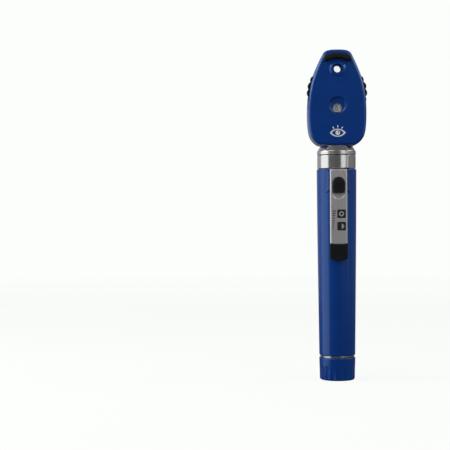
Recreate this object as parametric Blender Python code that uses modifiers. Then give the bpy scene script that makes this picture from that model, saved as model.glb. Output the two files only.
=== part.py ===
"""Pocket ophthalmoscope: a two-cell handle with a clip switch, and an optical head with a lens wheel.

Lengths are in metres. The origin is the centre of the end cap's flat base, +Z runs up the handle's
axis, and the examiner's side of the head, with the viewing hole and the clip, faces -Y.
"""

import math

import bmesh
import bpy

MM = 0.001
GAP = 0.3 * MM  # clearance kept between neighbouring pieces
ROUND_STEPS = 36  # sides of a large turned piece
SMALL_STEPS = 16  # sides of a small turned piece

# Heights of the stack, from the base up
CAP_TOP = 12.0 * MM
HANDLE_BOTTOM = 12.95 * MM
HANDLE_TOP = 111.9 * MM
NECK_SEAM = 119.3 * MM  # parting line between the handle's collar and the head's collar
HEAD_BOTTOM = 124.45 * MM

# Handle
HANDLE_RADIUS_TOP = 10.57 * MM
HANDLE_RADIUS_BOTTOM = 9.53 * MM
HANDLE_FOOT_ROUND = 0.8 * MM
# (radius, height) down the handle, which tapers faster towards its foot
HANDLE_TAPER = ((10.39 * MM, 84 * MM), (10.17 * MM, 62 * MM), (9.89 * MM, 42 * MM))
HANDLE_BORE = 8.3 * MM
CELL_RADIUS = 7.25 * MM
CELL_LENGTH = 50.5 * MM
CELL_NUB_RADIUS = 2.75 * MM
CELL_NUB_HEIGHT = 1.3 * MM
LOWER_CELL_BOTTOM = 6.8 * MM
UPPER_CELL_BOTTOM = LOWER_CELL_BOTTOM + CELL_LENGTH + GAP

# Fairing that flanks the clip at the handle's top
FAIRING_HALF_WIDTH = 6.6 * MM
FAIRING_FRONT = -10.7 * MM
FAIRING_BOTTOM = 99.1 * MM
CLIP_SLOT_HALF_WIDTH = 4.9 * MM
CLIP_SLOT_FLOOR = -9.9 * MM

# End cap
CAP_RADIUS_TOP = 9.58 * MM
CAP_RADIUS_BOTTOM = 9.31 * MM
CAP_BORE = 8.4 * MM
CAP_FLOOR = 2.2 * MM
FLUTE_COUNT = 18
FLUTE_RADIUS = 1.0 * MM
FLUTE_DEPTH = 0.35 * MM
FLUTE_HEIGHT = 7.0 * MM

# Collars at the neck
LOWER_COLLAR_RADIUS = 10.24 * MM
UPPER_COLLAR_RADIUS = 10.3 * MM
UPPER_COLLAR_TOP_RADIUS = 8.6 * MM
THREAD_RADIUS = 6.9 * MM

# Clip and switch
CLIP_FRONT = -12.0 * MM
CLIP_SHEET = 0.6 * MM
CLIP_FLANGE_BACK = -10.3 * MM
CLIP_HALF_WIDTH = 4.55 * MM
CLIP_TOP = 111.6 * MM
CLIP_BOTTOM = 72.7 * MM
CLIP_TONGUE_BOTTOM = 66.0 * MM
TIP_TOP = 72.4 * MM
TIP_BOTTOM = 64.7 * MM
TIP_HALF_WIDTH = 4.65 * MM
PAN_HALF_WIDTH = 3.3 * MM
PAN_WALL = 0.4 * MM
PAN_TOP = 107.5 * MM
PAN_BOTTOM = 95.9 * MM
PAN_FLOOR = -11.0 * MM
SLIDER_HALF_WIDTH = 3.05 * MM
SLIDER_FOOT_HALF_WIDTH = 2.55 * MM
SLIDER_BOTTOM = 99.1 * MM
SLIDER_TOP = 107.15 * MM
SLIDER_FRONT = -13.0 * MM
STEM_BOTTOM = 103.0 * MM
STEM_TOP = 106.4 * MM
SWITCH_TRAVEL = 3.0 * MM

# Head
HEAD_FRONT = -8.0 * MM
HEAD_BACK = 8.0 * MM
HEAD_WALL = 1.5 * MM
SEAM_HALF_GAP = 0.15 * MM
FRONT_FILLET = 1.3 * MM
BACK_FILLET = 2.5 * MM
VIEW_HEIGHT = 164.7 * MM
VIEW_HOLE_RADIUS = 2.35 * MM
VIEW_BOSS_BASE_RADIUS = 4.3 * MM
VIEW_BOSS_TOP_RADIUS = 3.3 * MM
VIEW_BOSS_FRONT = -8.7 * MM
READOUT_HEIGHT = 145.5 * MM
READOUT_RADIUS = 4.5 * MM
READOUT_LENS_HEIGHT = 144.1 * MM
READOUT_LENS_RADIUS = 2.4 * MM
READOUT_FLOOR = -6.5 * MM
READOUT_PAD_BACK = -5.8 * MM
POST_X = 9.3 * MM
POST_HEIGHT = 131.2 * MM

# Knots of the head's outline, right half, from the bottom up:
# (x, height, direction of the curve in degrees, handle length before, handle length after)
HEAD_KNOTS = (
    (0.0, 124.45, 0, 0.0, 2.9),
    (8.2, 124.45, 0, 2.9, 2.2),
    (13.85, 128.95, 63, 2.6, 2.8),
    (15.34, 142.3, 90, 5.0, 6.7),
    (12.24, 162.1, 110.3, 6.7, 3.4),
    (7.6, 172.6, 118, 3.3, 1.0),
    (4.9, 174.6, 166, 1.3, 1.8),
    (0.0, 175.0, 180, 1.9, 0.0),
)
OUTLINE_STEPS = 5  # points between two knots

# Lens wheel
WHEEL_HEIGHT = 152.2 * MM
WHEEL_RADIUS = 16.0 * MM
WHEEL_LOBES = 24
WHEEL_NOTCH = 0.7 * MM
WHEEL_FRONT = -5.4 * MM
WHEEL_BACK = -3.4 * MM
LENS_POSITIONS = 20  # position 0, at the top, is open; the rest hold a lens
LENS_CIRCLE = VIEW_HEIGHT - WHEEL_HEIGHT
LENS_HOLE_RADIUS = 1.65 * MM
OPEN_HOLE_RADIUS = 1.85 * MM
LENS_RADIUS = 1.5 * MM
DIAL_RADIUS = 10.2 * MM
AXLE_RADIUS = 1.2 * MM

# Optical train on the handle's axis
TUBE_BORE = 2.1 * MM
TUBE_WALL = 0.4 * MM
MIRROR_HEIGHT = 160.0 * MM

# Aperture wheel, level, with its rim out at the back of the head
APERTURE_Y = 4.4 * MM
APERTURE_WHEEL_RADIUS = 6.3 * MM
APERTURE_BOTTOM = 132.4 * MM
APERTURE_TOP = 133.6 * MM
APERTURE_RADII = tuple(radius * MM for radius in (1.6, 1.2, 0.8, 0.45, 1.4))
APERTURE_AXLE_RADIUS = 0.75 * MM

# Ribs in the rear shell that the tubes lie against: (bottom, top, front)
CRADLES = (
    (129.6 * MM, 131.2 * MM, 3.2 * MM),
    (134.8 * MM, 136.4 * MM, 2.8 * MM),
    (150.4 * MM, 152.0 * MM, 2.8 * MM),
)

# Detent that clicks the lens wheel from lens to lens
DETENT_PILLAR_X = 11.4 * MM
DETENT_X = 8.3 * MM
DETENT_BALL_Y = -2.25 * MM
DETENT_BALL_RADIUS = 0.8 * MM


def clear_scene():
    for obj in list(bpy.data.objects):
        bpy.data.objects.remove(obj)


def new_collection(name):
    made = bpy.data.collections.new(name)
    bpy.context.scene.collection.children.link(made)
    return made


def new_material(name, colour, roughness, metallic=0.0, transmission=0.0):
    material = bpy.data.materials.new(name)
    material.use_nodes = True
    shader = material.node_tree.nodes["Principled BSDF"]
    shader.inputs["Base Color"].default_value = (*colour, 1.0)
    shader.inputs["Roughness"].default_value = roughness
    shader.inputs["Metallic"].default_value = metallic
    shader.inputs["Transmission Weight"].default_value = transmission
    return material


clear_scene()
PARTS = new_collection("pocket_ophthalmoscope")
CUTTERS = new_collection("cutters")

BLUE = new_material("blue_lacquer", (0.003, 0.03, 0.17), 0.35)
CHROME = new_material("chrome", (0.75, 0.75, 0.77), 0.12, metallic=1.0)
STEEL = new_material("pressed_steel", (0.5, 0.49, 0.5), 0.35, metallic=1.0)
BLACK = new_material("black_plastic", (0.015, 0.015, 0.017), 0.5)
RUBBER = new_material("black_rubber", (0.02, 0.02, 0.022), 0.8)
BRASS = new_material("brass", (0.7, 0.5, 0.2), 0.3, metallic=1.0)
NICKEL = new_material("nickel", (0.6, 0.58, 0.54), 0.3, metallic=1.0)
IVORY = new_material("white_plastic", (0.75, 0.74, 0.7), 0.5)
CELL_JACKET = new_material("cell_jacket", (0.12, 0.13, 0.15), 0.35)
GLASS = new_material("glass", (0.9, 0.95, 0.95), 0.02, transmission=1.0)
MIRROR = new_material("mirror", (0.9, 0.9, 0.9), 0.02, metallic=1.0)


def place(name, mesh, material, facing="up", at=(0, 0, 0)):
    """An object in the parts collection, or in the cutters where it has no material.

    A piece facing "front" has its own +Z turned towards -Y, and its own +Y towards +Z.
    """
    obj = bpy.data.objects.new(name, mesh)
    obj.location = at
    if facing == "front":
        obj.rotation_euler = (math.pi / 2, 0, 0)
    if material:
        mesh.materials.append(material)
        PARTS.objects.link(obj)
    else:
        obj.hide_render = True
        obj.display_type = "WIRE"
        CUTTERS.objects.link(obj)
    return obj


def shade_round(mesh):
    mesh.shade_smooth()
    mesh.set_sharp_from_angle(angle=math.radians(35))


def turned(name, profile, material=None, facing="up", at=(0, 0, 0), steps=SMALL_STEPS):
    """A turned piece. The profile is (radius, height) points, from the top down the outer side.

    It ends on the axis for a solid piece, and closes on itself for a ring or a tube.
    """
    edges = [(i, i + 1) for i in range(len(profile) - 1)]
    if profile[0][0] > 0:
        edges.append((len(profile) - 1, 0))
    mesh = bpy.data.meshes.new(name)
    mesh.from_pydata([(radius, 0, height) for radius, height in profile], edges, [])
    obj = place(name, mesh, material, facing, at)
    screw = obj.modifiers.new("turn", "SCREW")
    screw.steps = steps
    screw.render_steps = steps
    screw.use_merge_vertices = True
    screw.merge_threshold = 0.00001
    return obj


def disc(name, radius, bottom, top, material=None, facing="up", at=(0, 0, 0), steps=SMALL_STEPS):
    profile = ((0, top), (radius, top), (radius, bottom), (0, bottom))
    return turned(name, profile, material, facing, at, steps)


def tube(name, outer, inner, bottom, top, material=None, facing="up", at=(0, 0, 0), steps=SMALL_STEPS):
    profile = ((outer, top), (outer, bottom), (inner, bottom), (inner, top))
    return turned(name, profile, material, facing, at, steps)


def block(name, low, high, material=None):
    """A box between two opposite corners."""
    mesh = bpy.data.meshes.new(name)
    shape = bmesh.new()
    bmesh.ops.create_cube(shape, size=1.0)
    for vertex in shape.verts:
        vertex.co = [
            (a + b) / 2 + (b - a) * part for a, b, part in zip(low, high, vertex.co, strict=True)
        ]
    shape.to_mesh(mesh)
    shape.free()
    return place(name, mesh, material)


def plate(name, outlines, low, high, material=None, facing="front"):
    """A flat piece cut from closed outlines: the first is its edge, and the others are holes.

    Facing "front", an outline's points are (x, z) and the plate runs from y = low to y = high.
    Facing "up", they are (x, y) and it runs from z = low to z = high.
    """
    curve = bpy.data.curves.new(name, "CURVE")
    curve.dimensions = "2D"
    curve.fill_mode = "BOTH"
    curve.extrude = (high - low) / 2
    for outline in outlines:
        spline = curve.splines.new("POLY")
        spline.points.add(len(outline) - 1)
        for point, (across, along) in zip(spline.points, outline, strict=True):
            point.co = (across, along, 0, 1)
        spline.use_cyclic_u = True
    middle = (low + high) / 2
    guide = bpy.data.objects.new(name + "_outline", curve)
    CUTTERS.objects.link(guide)
    bpy.context.view_layer.update()
    graph = bpy.context.evaluated_depsgraph_get()
    mesh = bpy.data.meshes.new_from_object(guide.evaluated_get(graph))
    bpy.data.objects.remove(guide)
    shape = bmesh.new()
    shape.from_mesh(mesh)
    bmesh.ops.remove_doubles(shape, verts=shape.verts, dist=0.000001)
    bmesh.ops.recalc_face_normals(shape, faces=shape.faces)
    if len(outlines) == 1:
        for side in (-1, 1):
            level = side * curve.extrude
            cap = [face for face in shape.faces if all(abs(end.co.z - level) < 1e-7 for end in face.verts)]
            bmesh.ops.dissolve_faces(shape, faces=cap)
    shape.to_mesh(mesh)
    shape.free()
    shade_round(mesh)
    mesh.materials.clear()
    at = (0, middle, 0) if facing == "front" else (0, 0, middle)
    return place(name, mesh, material, facing, at)


def wire(name, points, radius, material):
    """A round wire along the points, with closed ends."""
    curve = bpy.data.curves.new(name, "CURVE")
    curve.dimensions = "3D"
    curve.bevel_depth = radius
    curve.bevel_resolution = 2
    curve.use_fill_caps = True
    spline = curve.splines.new("POLY")
    spline.points.add(len(points) - 1)
    for point, place_on_wire in zip(spline.points, points, strict=True):
        point.co = (*place_on_wire, 1)
    curve.materials.append(material)
    obj = bpy.data.objects.new(name, curve)
    PARTS.objects.link(obj)
    return obj


def combine(target, tool, operation):
    modifier = target.modifiers.new(tool.name, "BOOLEAN")
    modifier.operation = operation
    modifier.object = tool
    # The exact solver leaves open edges where the front shell's many cuts meet.
    modifier.solver = "MANIFOLD" if target.name == "head_front_shell" else "EXACT"


def cut(target, *tools):
    for tool in tools:
        combine(target, tool, "DIFFERENCE")


def join(target, *tools):
    for tool in tools:
        combine(target, tool, "UNION")


def round_edges(obj, width, segments, chosen):
    """Rounds the sharp edges whose two ends both pass the chosen test, given in the object's own space."""
    shape = bmesh.new()
    shape.from_mesh(obj.data)
    weight = shape.edges.layers.float.new("bevel_weight_edge")
    for edge in shape.edges:
        sharp = edge.calc_face_angle() > math.radians(30)
        edge[weight] = float(sharp and all(chosen(end.co) for end in edge.verts))
    shape.to_mesh(obj.data)
    shape.free()
    bevel = obj.modifiers.new("round", "BEVEL")
    bevel.limit_method = "WEIGHT"
    bevel.width = width
    bevel.segments = segments
    bevel.use_clamp_overlap = True


def arc(centre, radius, start, end, steps):
    """Points on an arc, from the start angle to the end angle in degrees."""
    angles = [math.radians(start + (end - start) * i / steps) for i in range(steps + 1)]
    return [(centre[0] + radius * math.cos(a), centre[1] + radius * math.sin(a)) for a in angles]


def circle(centre, radius, steps):
    return arc(centre, radius, 0, 360 * (steps - 1) / steps, steps - 1)


def stadium(half_width, bottom, top):
    """A slot's outline with round ends, upright on x = 0."""
    upper = arc((0, top - half_width), half_width, 0, 180, 10)
    lower = arc((0, bottom + half_width), half_width, 180, 360, 10)
    return upper + lower


def band(path, width):
    """The outline of a strip of even width along a path."""
    sides = ([], [])
    for i, (x, y) in enumerate(path):
        before = path[max(i - 1, 0)]
        after = path[min(i + 1, len(path) - 1)]
        run, rise = after[0] - before[0], after[1] - before[1]
        length = math.hypot(run, rise)
        for side, sign in zip(sides, (1, -1), strict=True):
            side.append((x - sign * rise / length * width / 2, y + sign * run / length * width / 2))
    return sides[0] + sides[1][::-1]


def head_outline(inset=0.0):
    """Points round the head's outline, anticlockwise from the bottom, drawn in by the inset."""
    half = []
    for start, end in zip(HEAD_KNOTS, HEAD_KNOTS[1:]):
        x0, z0, angle0, _, reach0 = start
        x3, z3, angle3, reach3, _ = end
        a0, a3 = math.radians(angle0), math.radians(angle3)
        x1, z1 = x0 + reach0 * math.cos(a0), z0 + reach0 * math.sin(a0)
        x2, z2 = x3 - reach3 * math.cos(a3), z3 - reach3 * math.sin(a3)
        for i in range(OUTLINE_STEPS):
            t = i / OUTLINE_STEPS
            weights = ((1 - t) ** 3, 3 * t * (1 - t) ** 2, 3 * t * t * (1 - t), t**3)
            x = sum(w * v for w, v in zip(weights, (x0, x1, x2, x3), strict=True))
            z = sum(w * v for w, v in zip(weights, (z0, z1, z2, z3), strict=True))
            half.append((x * MM, z * MM))
    top = (HEAD_KNOTS[-1][0] * MM, HEAD_KNOTS[-1][1] * MM)
    points = half + [top] + [(-x, z) for x, z in reversed(half[1:])]
    moved = []
    for i, (x, z) in enumerate(points):
        before = points[i - 1]
        after = points[(i + 1) % len(points)]
        run, rise = after[0] - before[0], after[1] - before[1]
        length = math.hypot(run, rise)
        moved.append((x - rise / length * inset, z + run / length * inset))
    return moved


# Handle


def make_handle_tube():
    top_edge = 0.3 * MM
    foot_centre = (HANDLE_RADIUS_BOTTOM - HANDLE_FOOT_ROUND, HANDLE_BOTTOM + HANDLE_FOOT_ROUND)
    profile = (
        (0, HANDLE_TOP),
        (HANDLE_RADIUS_TOP - top_edge, HANDLE_TOP),
        (HANDLE_RADIUS_TOP, HANDLE_TOP - top_edge),
        *HANDLE_TAPER,
        *arc(foot_centre, HANDLE_FOOT_ROUND, 0, -90, 2),
        (0, HANDLE_BOTTOM),
    )
    handle = turned("handle_tube", profile, BLUE, steps=ROUND_STEPS)
    fairing = block(
        "fairing",
        (-FAIRING_HALF_WIDTH, FAIRING_FRONT, FAIRING_BOTTOM),
        (FAIRING_HALF_WIDTH, -5.0 * MM, HANDLE_TOP - 0.2 * MM),
    )
    round_edges(fairing, 3.0 * MM, 5, lambda end: end.y < -6 * MM)
    slot = block(
        "clip_slot",
        (-CLIP_SLOT_HALF_WIDTH, -14 * MM, 98 * MM),
        (CLIP_SLOT_HALF_WIDTH, CLIP_SLOT_FLOOR, 113 * MM),
    )
    bore = disc("handle_bore", HANDLE_BORE, 12 * MM, 113 * MM, steps=ROUND_STEPS)
    stem_slot = block("switch_slot", (-1.6 * MM, -12 * MM, 99.3 * MM), (1.6 * MM, -7.5 * MM, 107.4 * MM))
    strip_groove = block(
        "terminal_groove", (-1.3 * MM, -8.95 * MM, 102.7 * MM), (1.3 * MM, -7.5 * MM, 113 * MM)
    )
    tongue_slot = block("tongue_slot", (-3.3 * MM, -10.5 * MM, 110.6 * MM), (3.3 * MM, -8.9 * MM, 113 * MM))
    join(handle, fairing)
    cut(handle, slot, bore, stem_slot, strip_groove, tongue_slot)


def make_handle_collar():
    bevel = 0.35 * MM
    bottom = HANDLE_TOP + GAP
    top = NECK_SEAM - 0.15 * MM
    profile = (
        (LOWER_COLLAR_RADIUS - bevel, top),
        (LOWER_COLLAR_RADIUS, top - bevel),
        (LOWER_COLLAR_RADIUS, bottom + bevel),
        (LOWER_COLLAR_RADIUS - bevel, bottom),
        (THREAD_RADIUS + 0.2 * MM, bottom),
        (THREAD_RADIUS + 0.2 * MM, top),
    )
    turned("handle_collar", profile, CHROME, steps=ROUND_STEPS)


def make_neck_thread():
    """The threaded neck: its lower end fills the handle's bore and its upper end carries the head."""
    spigot_bottom = 107.2 * MM
    spigot_top = HANDLE_TOP
    top = 123.0 * MM
    profile = (
        (THREAD_RADIUS - 0.4 * MM, top),
        (THREAD_RADIUS, top - 0.4 * MM),
        (THREAD_RADIUS, spigot_top),
        (HANDLE_BORE - GAP, spigot_top),
        (HANDLE_BORE - GAP, spigot_bottom),
        (7.2 * MM, spigot_bottom),
        (7.2 * MM, 111.5 * MM),
        (5.6 * MM, 111.5 * MM),
        (5.6 * MM, top),
    )
    turned("neck_thread", profile, BRASS, steps=ROUND_STEPS)


def make_contacts():
    disc_bottom = 108.7 * MM
    disc_top = 111.2 * MM
    tube("contact_insulator", 6.9 * MM, 1.5 * MM, disc_bottom, disc_top, IVORY)
    pin = (
        (0, 112.6 * MM),
        (0.7 * MM, 112.6 * MM),
        (1.2 * MM, 112.1 * MM),
        (1.2 * MM, 108.4 * MM),
        (0, 108.4 * MM),
    )
    turned("contact_pin", pin, BRASS)
    block("terminal_strip", (-1.0 * MM, -8.65 * MM, 103.0 * MM), (1.0 * MM, -8.32 * MM, 111.7 * MM), BRASS)
    tube("battery_sleeve", HANDLE_BORE - GAP, 7.6 * MM, 18 * MM, 103 * MM, NICKEL, steps=ROUND_STEPS)


def make_cell(name, bottom):
    shoulder = bottom + CELL_LENGTH - CELL_NUB_HEIGHT
    edge = 0.5 * MM
    profile = (
        (0, bottom + CELL_LENGTH),
        (CELL_NUB_RADIUS, bottom + CELL_LENGTH),
        (CELL_NUB_RADIUS, shoulder),
        (CELL_RADIUS - edge, shoulder),
        (CELL_RADIUS, shoulder - edge),
        (CELL_RADIUS, bottom + edge),
        (CELL_RADIUS - edge, bottom),
        (0, bottom),
    )
    turned(name, profile, CELL_JACKET, steps=32)


def make_bottom_thread():
    """The threaded ring at the handle's foot, which shows as a bright line above the end cap."""
    flange_top = 12.7 * MM
    flange_bottom = 12.25 * MM
    outer = 8.1 * MM
    profile = (
        (outer, 17.5 * MM),
        (outer, flange_top),
        (9.1 * MM, flange_top),
        (9.1 * MM, flange_bottom),
        (outer, flange_bottom),
        (outer, 5.5 * MM),
        (7.5 * MM, 5.5 * MM),
        (7.5 * MM, 17.5 * MM),
    )
    turned("bottom_thread_ring", profile, NICKEL, steps=ROUND_STEPS)


# End cap


def make_end_cap():
    edge = 1.0 * MM
    foot = arc((CAP_RADIUS_BOTTOM - edge, edge), edge, 0, -90, 4)
    profile = [
        (CAP_RADIUS_TOP - 0.4 * MM, CAP_TOP),
        (CAP_RADIUS_TOP, CAP_TOP - 0.4 * MM),
        *foot,
        (0, 0),
        (0, CAP_FLOOR),
        (CAP_BORE, CAP_FLOOR),
        (CAP_BORE, CAP_TOP),
    ]
    cap = turned("end_cap", profile, BLUE, steps=ROUND_STEPS)
    cut(cap, make_flute_cutters())


def make_flute_cutters():
    """Round cutters that lean out, so that each flute fades as it goes up the cap."""
    mesh = bpy.data.meshes.new("flutes")
    shape = bmesh.new()
    slope = (CAP_RADIUS_TOP - CAP_RADIUS_BOTTOM) / CAP_TOP
    axis_at_base = CAP_RADIUS_BOTTOM - FLUTE_DEPTH + FLUTE_RADIUS
    axis_at_top = CAP_RADIUS_BOTTOM + slope * FLUTE_HEIGHT + FLUTE_RADIUS
    lean = math.atan2(axis_at_top - axis_at_base, FLUTE_HEIGHT)
    length = 2 * FLUTE_HEIGHT + 2 * MM
    for index in range(FLUTE_COUNT):
        made = bmesh.ops.create_cone(
            shape, cap_ends=True, segments=12, radius1=FLUTE_RADIUS, radius2=FLUTE_RADIUS, depth=length
        )
        turn = 2 * math.pi * (index + 0.5) / FLUTE_COUNT
        for vertex in made["verts"]:
            x, y, z = vertex.co
            out = axis_at_base + x * math.cos(lean) + z * math.sin(lean)
            height = z * math.cos(lean) - x * math.sin(lean)
            vertex.co = (
                out * math.cos(turn) - y * math.sin(turn),
                out * math.sin(turn) + y * math.cos(turn),
                height,
            )
    shape.to_mesh(mesh)
    shape.free()
    return place("flutes", mesh, None)


def make_cap_spring():
    disc("cap_contact", 6.5 * MM, CAP_FLOOR + GAP, CAP_FLOOR + 0.8 * MM, NICKEL)
    wire_radius = 0.35 * MM
    turns = 3.5
    points_per_turn = 12
    bottom = CAP_FLOOR + 0.8 * MM + GAP + wire_radius
    top = LOWER_CELL_BOTTOM - GAP - wire_radius
    count = int(turns * points_per_turn)
    points = []
    for index in range(count + 1):
        part = index / count
        angle = 2 * math.pi * turns * part
        radius = (5.6 - 2.8 * part) * MM
        points.append((radius * math.cos(angle), radius * math.sin(angle), bottom + (top - bottom) * part))
    wire("cap_spring", points, wire_radius, STEEL)


# Clip and switch


def make_clip():
    """A pressed channel with its edges turned back and a pan sunk in it for the slider."""
    clip = block(
        "pocket_clip",
        (-CLIP_HALF_WIDTH, CLIP_FRONT, CLIP_BOTTOM),
        (CLIP_HALF_WIDTH, CLIP_FLANGE_BACK, CLIP_TOP),
        STEEL,
    )
    round_edges(clip, 0.5 * MM, 3, lambda end: end.y < CLIP_FRONT + 0.01 * MM)
    channel = block(
        "clip_channel",
        (-CLIP_HALF_WIDTH + CLIP_SHEET, CLIP_FRONT + CLIP_SHEET, CLIP_BOTTOM - 1 * MM),
        (CLIP_HALF_WIDTH - CLIP_SHEET, -9 * MM, CLIP_TOP - CLIP_SHEET),
    )
    pan_wall = plate(
        "pan_wall",
        [stadium(PAN_HALF_WIDTH + PAN_WALL, PAN_BOTTOM - PAN_WALL, PAN_TOP + PAN_WALL)],
        CLIP_FRONT + 0.3 * MM,
        PAN_FLOOR + PAN_WALL,
    )
    pan = plate("pan", [stadium(PAN_HALF_WIDTH, PAN_BOTTOM, PAN_TOP)], CLIP_FRONT - 1 * MM, PAN_FLOOR)
    hook = block(
        "hook",
        (-3.0 * MM, -11.5 * MM, CLIP_TOP - CLIP_SHEET),
        (3.0 * MM, -9.2 * MM, CLIP_TOP - 0.05 * MM),
    )
    tongue = block(
        "tongue",
        (-3.0 * MM, CLIP_FRONT + 0.1 * MM, CLIP_TONGUE_BOTTOM),
        (3.0 * MM, CLIP_FRONT + 0.5 * MM, CLIP_BOTTOM + 1 * MM),
    )
    stem_slot = block(
        "stem_slot",
        (-0.9 * MM, -12 * MM, STEM_BOTTOM - SWITCH_TRAVEL - GAP),
        (0.9 * MM, -10 * MM, STEM_TOP + GAP),
    )
    cut(clip, channel)
    join(clip, pan_wall, hook, tongue)
    cut(clip, pan, stem_slot)


def make_clip_tip():
    """The rubber shoe on the clip's end, with a slightly rounded lower edge."""
    sag = 1.1 * MM
    radius = (TIP_HALF_WIDTH**2 + sag**2) / (2 * sag)
    sweep = math.degrees(math.asin(TIP_HALF_WIDTH / radius))
    lower = arc((0, TIP_BOTTOM - sag + radius), radius, -90 - sweep, -90 + sweep, 8)
    outline = [*lower, (TIP_HALF_WIDTH, TIP_TOP), (-TIP_HALF_WIDTH, TIP_TOP)]
    tip = plate("clip_tip", [outline], CLIP_FRONT - 0.5 * MM, -10.4 * MM, RUBBER)
    round_edges(tip, 0.5 * MM, 3, lambda end: end.z > 0.5 * MM)
    pocket = block("tip_pocket", (-3.3 * MM, -12.2 * MM, 65.7 * MM), (3.3 * MM, -11.2 * MM, 74 * MM))
    cut(tip, pocket)


def make_switch():
    top_arc = arc((0, SLIDER_TOP - SLIDER_HALF_WIDTH), SLIDER_HALF_WIDTH, 0, 180, 12)
    outline = [
        (-SLIDER_HALF_WIDTH, SLIDER_BOTTOM + 1.3 * MM),
        (-SLIDER_FOOT_HALF_WIDTH, SLIDER_BOTTOM),
        (SLIDER_FOOT_HALF_WIDTH, SLIDER_BOTTOM),
        (SLIDER_HALF_WIDTH, SLIDER_BOTTOM + 1.3 * MM),
        *top_arc,
    ]
    slider = plate("switch_slider", [outline], SLIDER_FRONT, CLIP_FRONT - 0.25 * MM, BLACK)
    round_edges(slider, 0.3 * MM, 2, lambda end: end.z > 0.3 * MM)
    keel = block("keel", (-2.0 * MM, -12.5 * MM, 101 * MM), (2.0 * MM, PAN_FLOOR - GAP, 106.8 * MM))
    stem = block("stem", (-0.6 * MM, -11.5 * MM, STEM_BOTTOM), (0.6 * MM, -9.6 * MM, STEM_TOP))
    join(slider, keel, stem)
    block("switch_contact", (-1.2 * MM, -9.3 * MM, 102.3 * MM), (1.2 * MM, -8.95 * MM, 106.6 * MM), BRASS)


# Head casing


def make_head_collar():
    seam = NECK_SEAM + 0.15 * MM
    ring_top = HEAD_BOTTOM - GAP
    spigot_top = 128.0 * MM
    flange = 123.3 * MM
    profile = (
        (UPPER_COLLAR_TOP_RADIUS, ring_top),
        (UPPER_COLLAR_RADIUS, 121.4 * MM),
        (UPPER_COLLAR_RADIUS, seam + 0.3 * MM),
        (UPPER_COLLAR_RADIUS - 0.3 * MM, seam),
        (THREAD_RADIUS + GAP, seam),
        (THREAD_RADIUS + GAP, flange),
        (5.0 * MM, flange),
        (5.0 * MM, spigot_top),
        (6.0 * MM, spigot_top),
        (6.0 * MM, ring_top),
    )
    turned("head_collar", profile, CHROME, steps=ROUND_STEPS)


def shell_half(name, low, high, fillet, fillet_end):
    """Half of the head's casing between two depths, with the outer edge of one face rounded."""
    shell = plate(name, [head_outline()], low, high, BLUE)
    half_depth = (high - low) / 2
    round_edges(shell, fillet, 4, lambda end: fillet_end * end.z > half_depth - 0.01 * MM)
    return shell


def make_front_shell():
    shell = shell_half("head_front_shell", HEAD_FRONT, -SEAM_HALF_GAP, FRONT_FILLET, 1)
    cavity = plate("front_cavity", [head_outline(HEAD_WALL)], HEAD_FRONT + HEAD_WALL, 1 * MM)
    boss = turned(
        "viewing_boss",
        (
            (0, -VIEW_BOSS_FRONT),
            (VIEW_BOSS_TOP_RADIUS, -VIEW_BOSS_FRONT),
            (VIEW_BOSS_BASE_RADIUS, -HEAD_FRONT),
            (VIEW_BOSS_BASE_RADIUS, -HEAD_FRONT - 0.5 * MM),
            (0, -HEAD_FRONT - 0.5 * MM),
        ),
        facing="front",
        at=(0, 0, VIEW_HEIGHT),
        steps=32,
    )
    view_hole = turned(
        "viewing_hole",
        (
            (0, 9 * MM),
            (VIEW_HOLE_RADIUS + 0.35 * MM, 9 * MM),
            (VIEW_HOLE_RADIUS, 7.6 * MM),
            (VIEW_HOLE_RADIUS, 5 * MM),
            (0, 5 * MM),
        ),
        facing="front",
        at=(0, 0, VIEW_HEIGHT),
        steps=24,
    )
    pad_back = -READOUT_PAD_BACK
    pad = disc("readout_pad", 3.9 * MM, pad_back, 7 * MM, facing="front", at=(0, 0, READOUT_HEIGHT), steps=24)
    seat_at = (0, 0, READOUT_LENS_HEIGHT)
    seat_radius = READOUT_LENS_RADIUS + 0.2 * MM
    lens_seat = disc("readout_seat", seat_radius, 5 * MM, 9 * MM, facing="front", at=seat_at)
    axle_at = (0, 0, WHEEL_HEIGHT)
    axle_boss = disc("axle_boss", 2.6 * MM, pad_back, 7 * MM, facing="front", at=axle_at)
    axle_bore = disc("axle_bore", AXLE_RADIUS + 0.05 * MM, 3 * MM, 7.1 * MM, facing="front", at=axle_at)
    windows = block(
        "wheel_windows",
        (-18 * MM, WHEEL_FRONT - 0.35 * MM, WHEEL_HEIGHT - 8.8 * MM),
        (18 * MM, WHEEL_BACK + 0.35 * MM, WHEEL_HEIGHT + 13.4 * MM),
    )
    neck_hole = disc("front_neck_hole", 6.3 * MM, 123 * MM, 128.3 * MM, steps=32)
    cut(cavity, pad, axle_boss)
    for side in (-1, 1):
        at = (side * POST_X, 0, POST_HEIGHT)
        cut(cavity, disc(f"front_post_{side}", 2.0 * MM, 0.35 * MM, 7 * MM, facing="front", at=at))
    join(shell, boss)
    cut(shell, cavity, view_hole, make_readout_scoop(), lens_seat, axle_bore, windows, neck_hole)
    for side in (-1, 1):
        at = (side * POST_X, 0, POST_HEIGHT)
        cut(shell, disc(f"front_post_hole_{side}", 1.1 * MM, -1 * MM, 5.5 * MM, facing="front", at=at))


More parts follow.
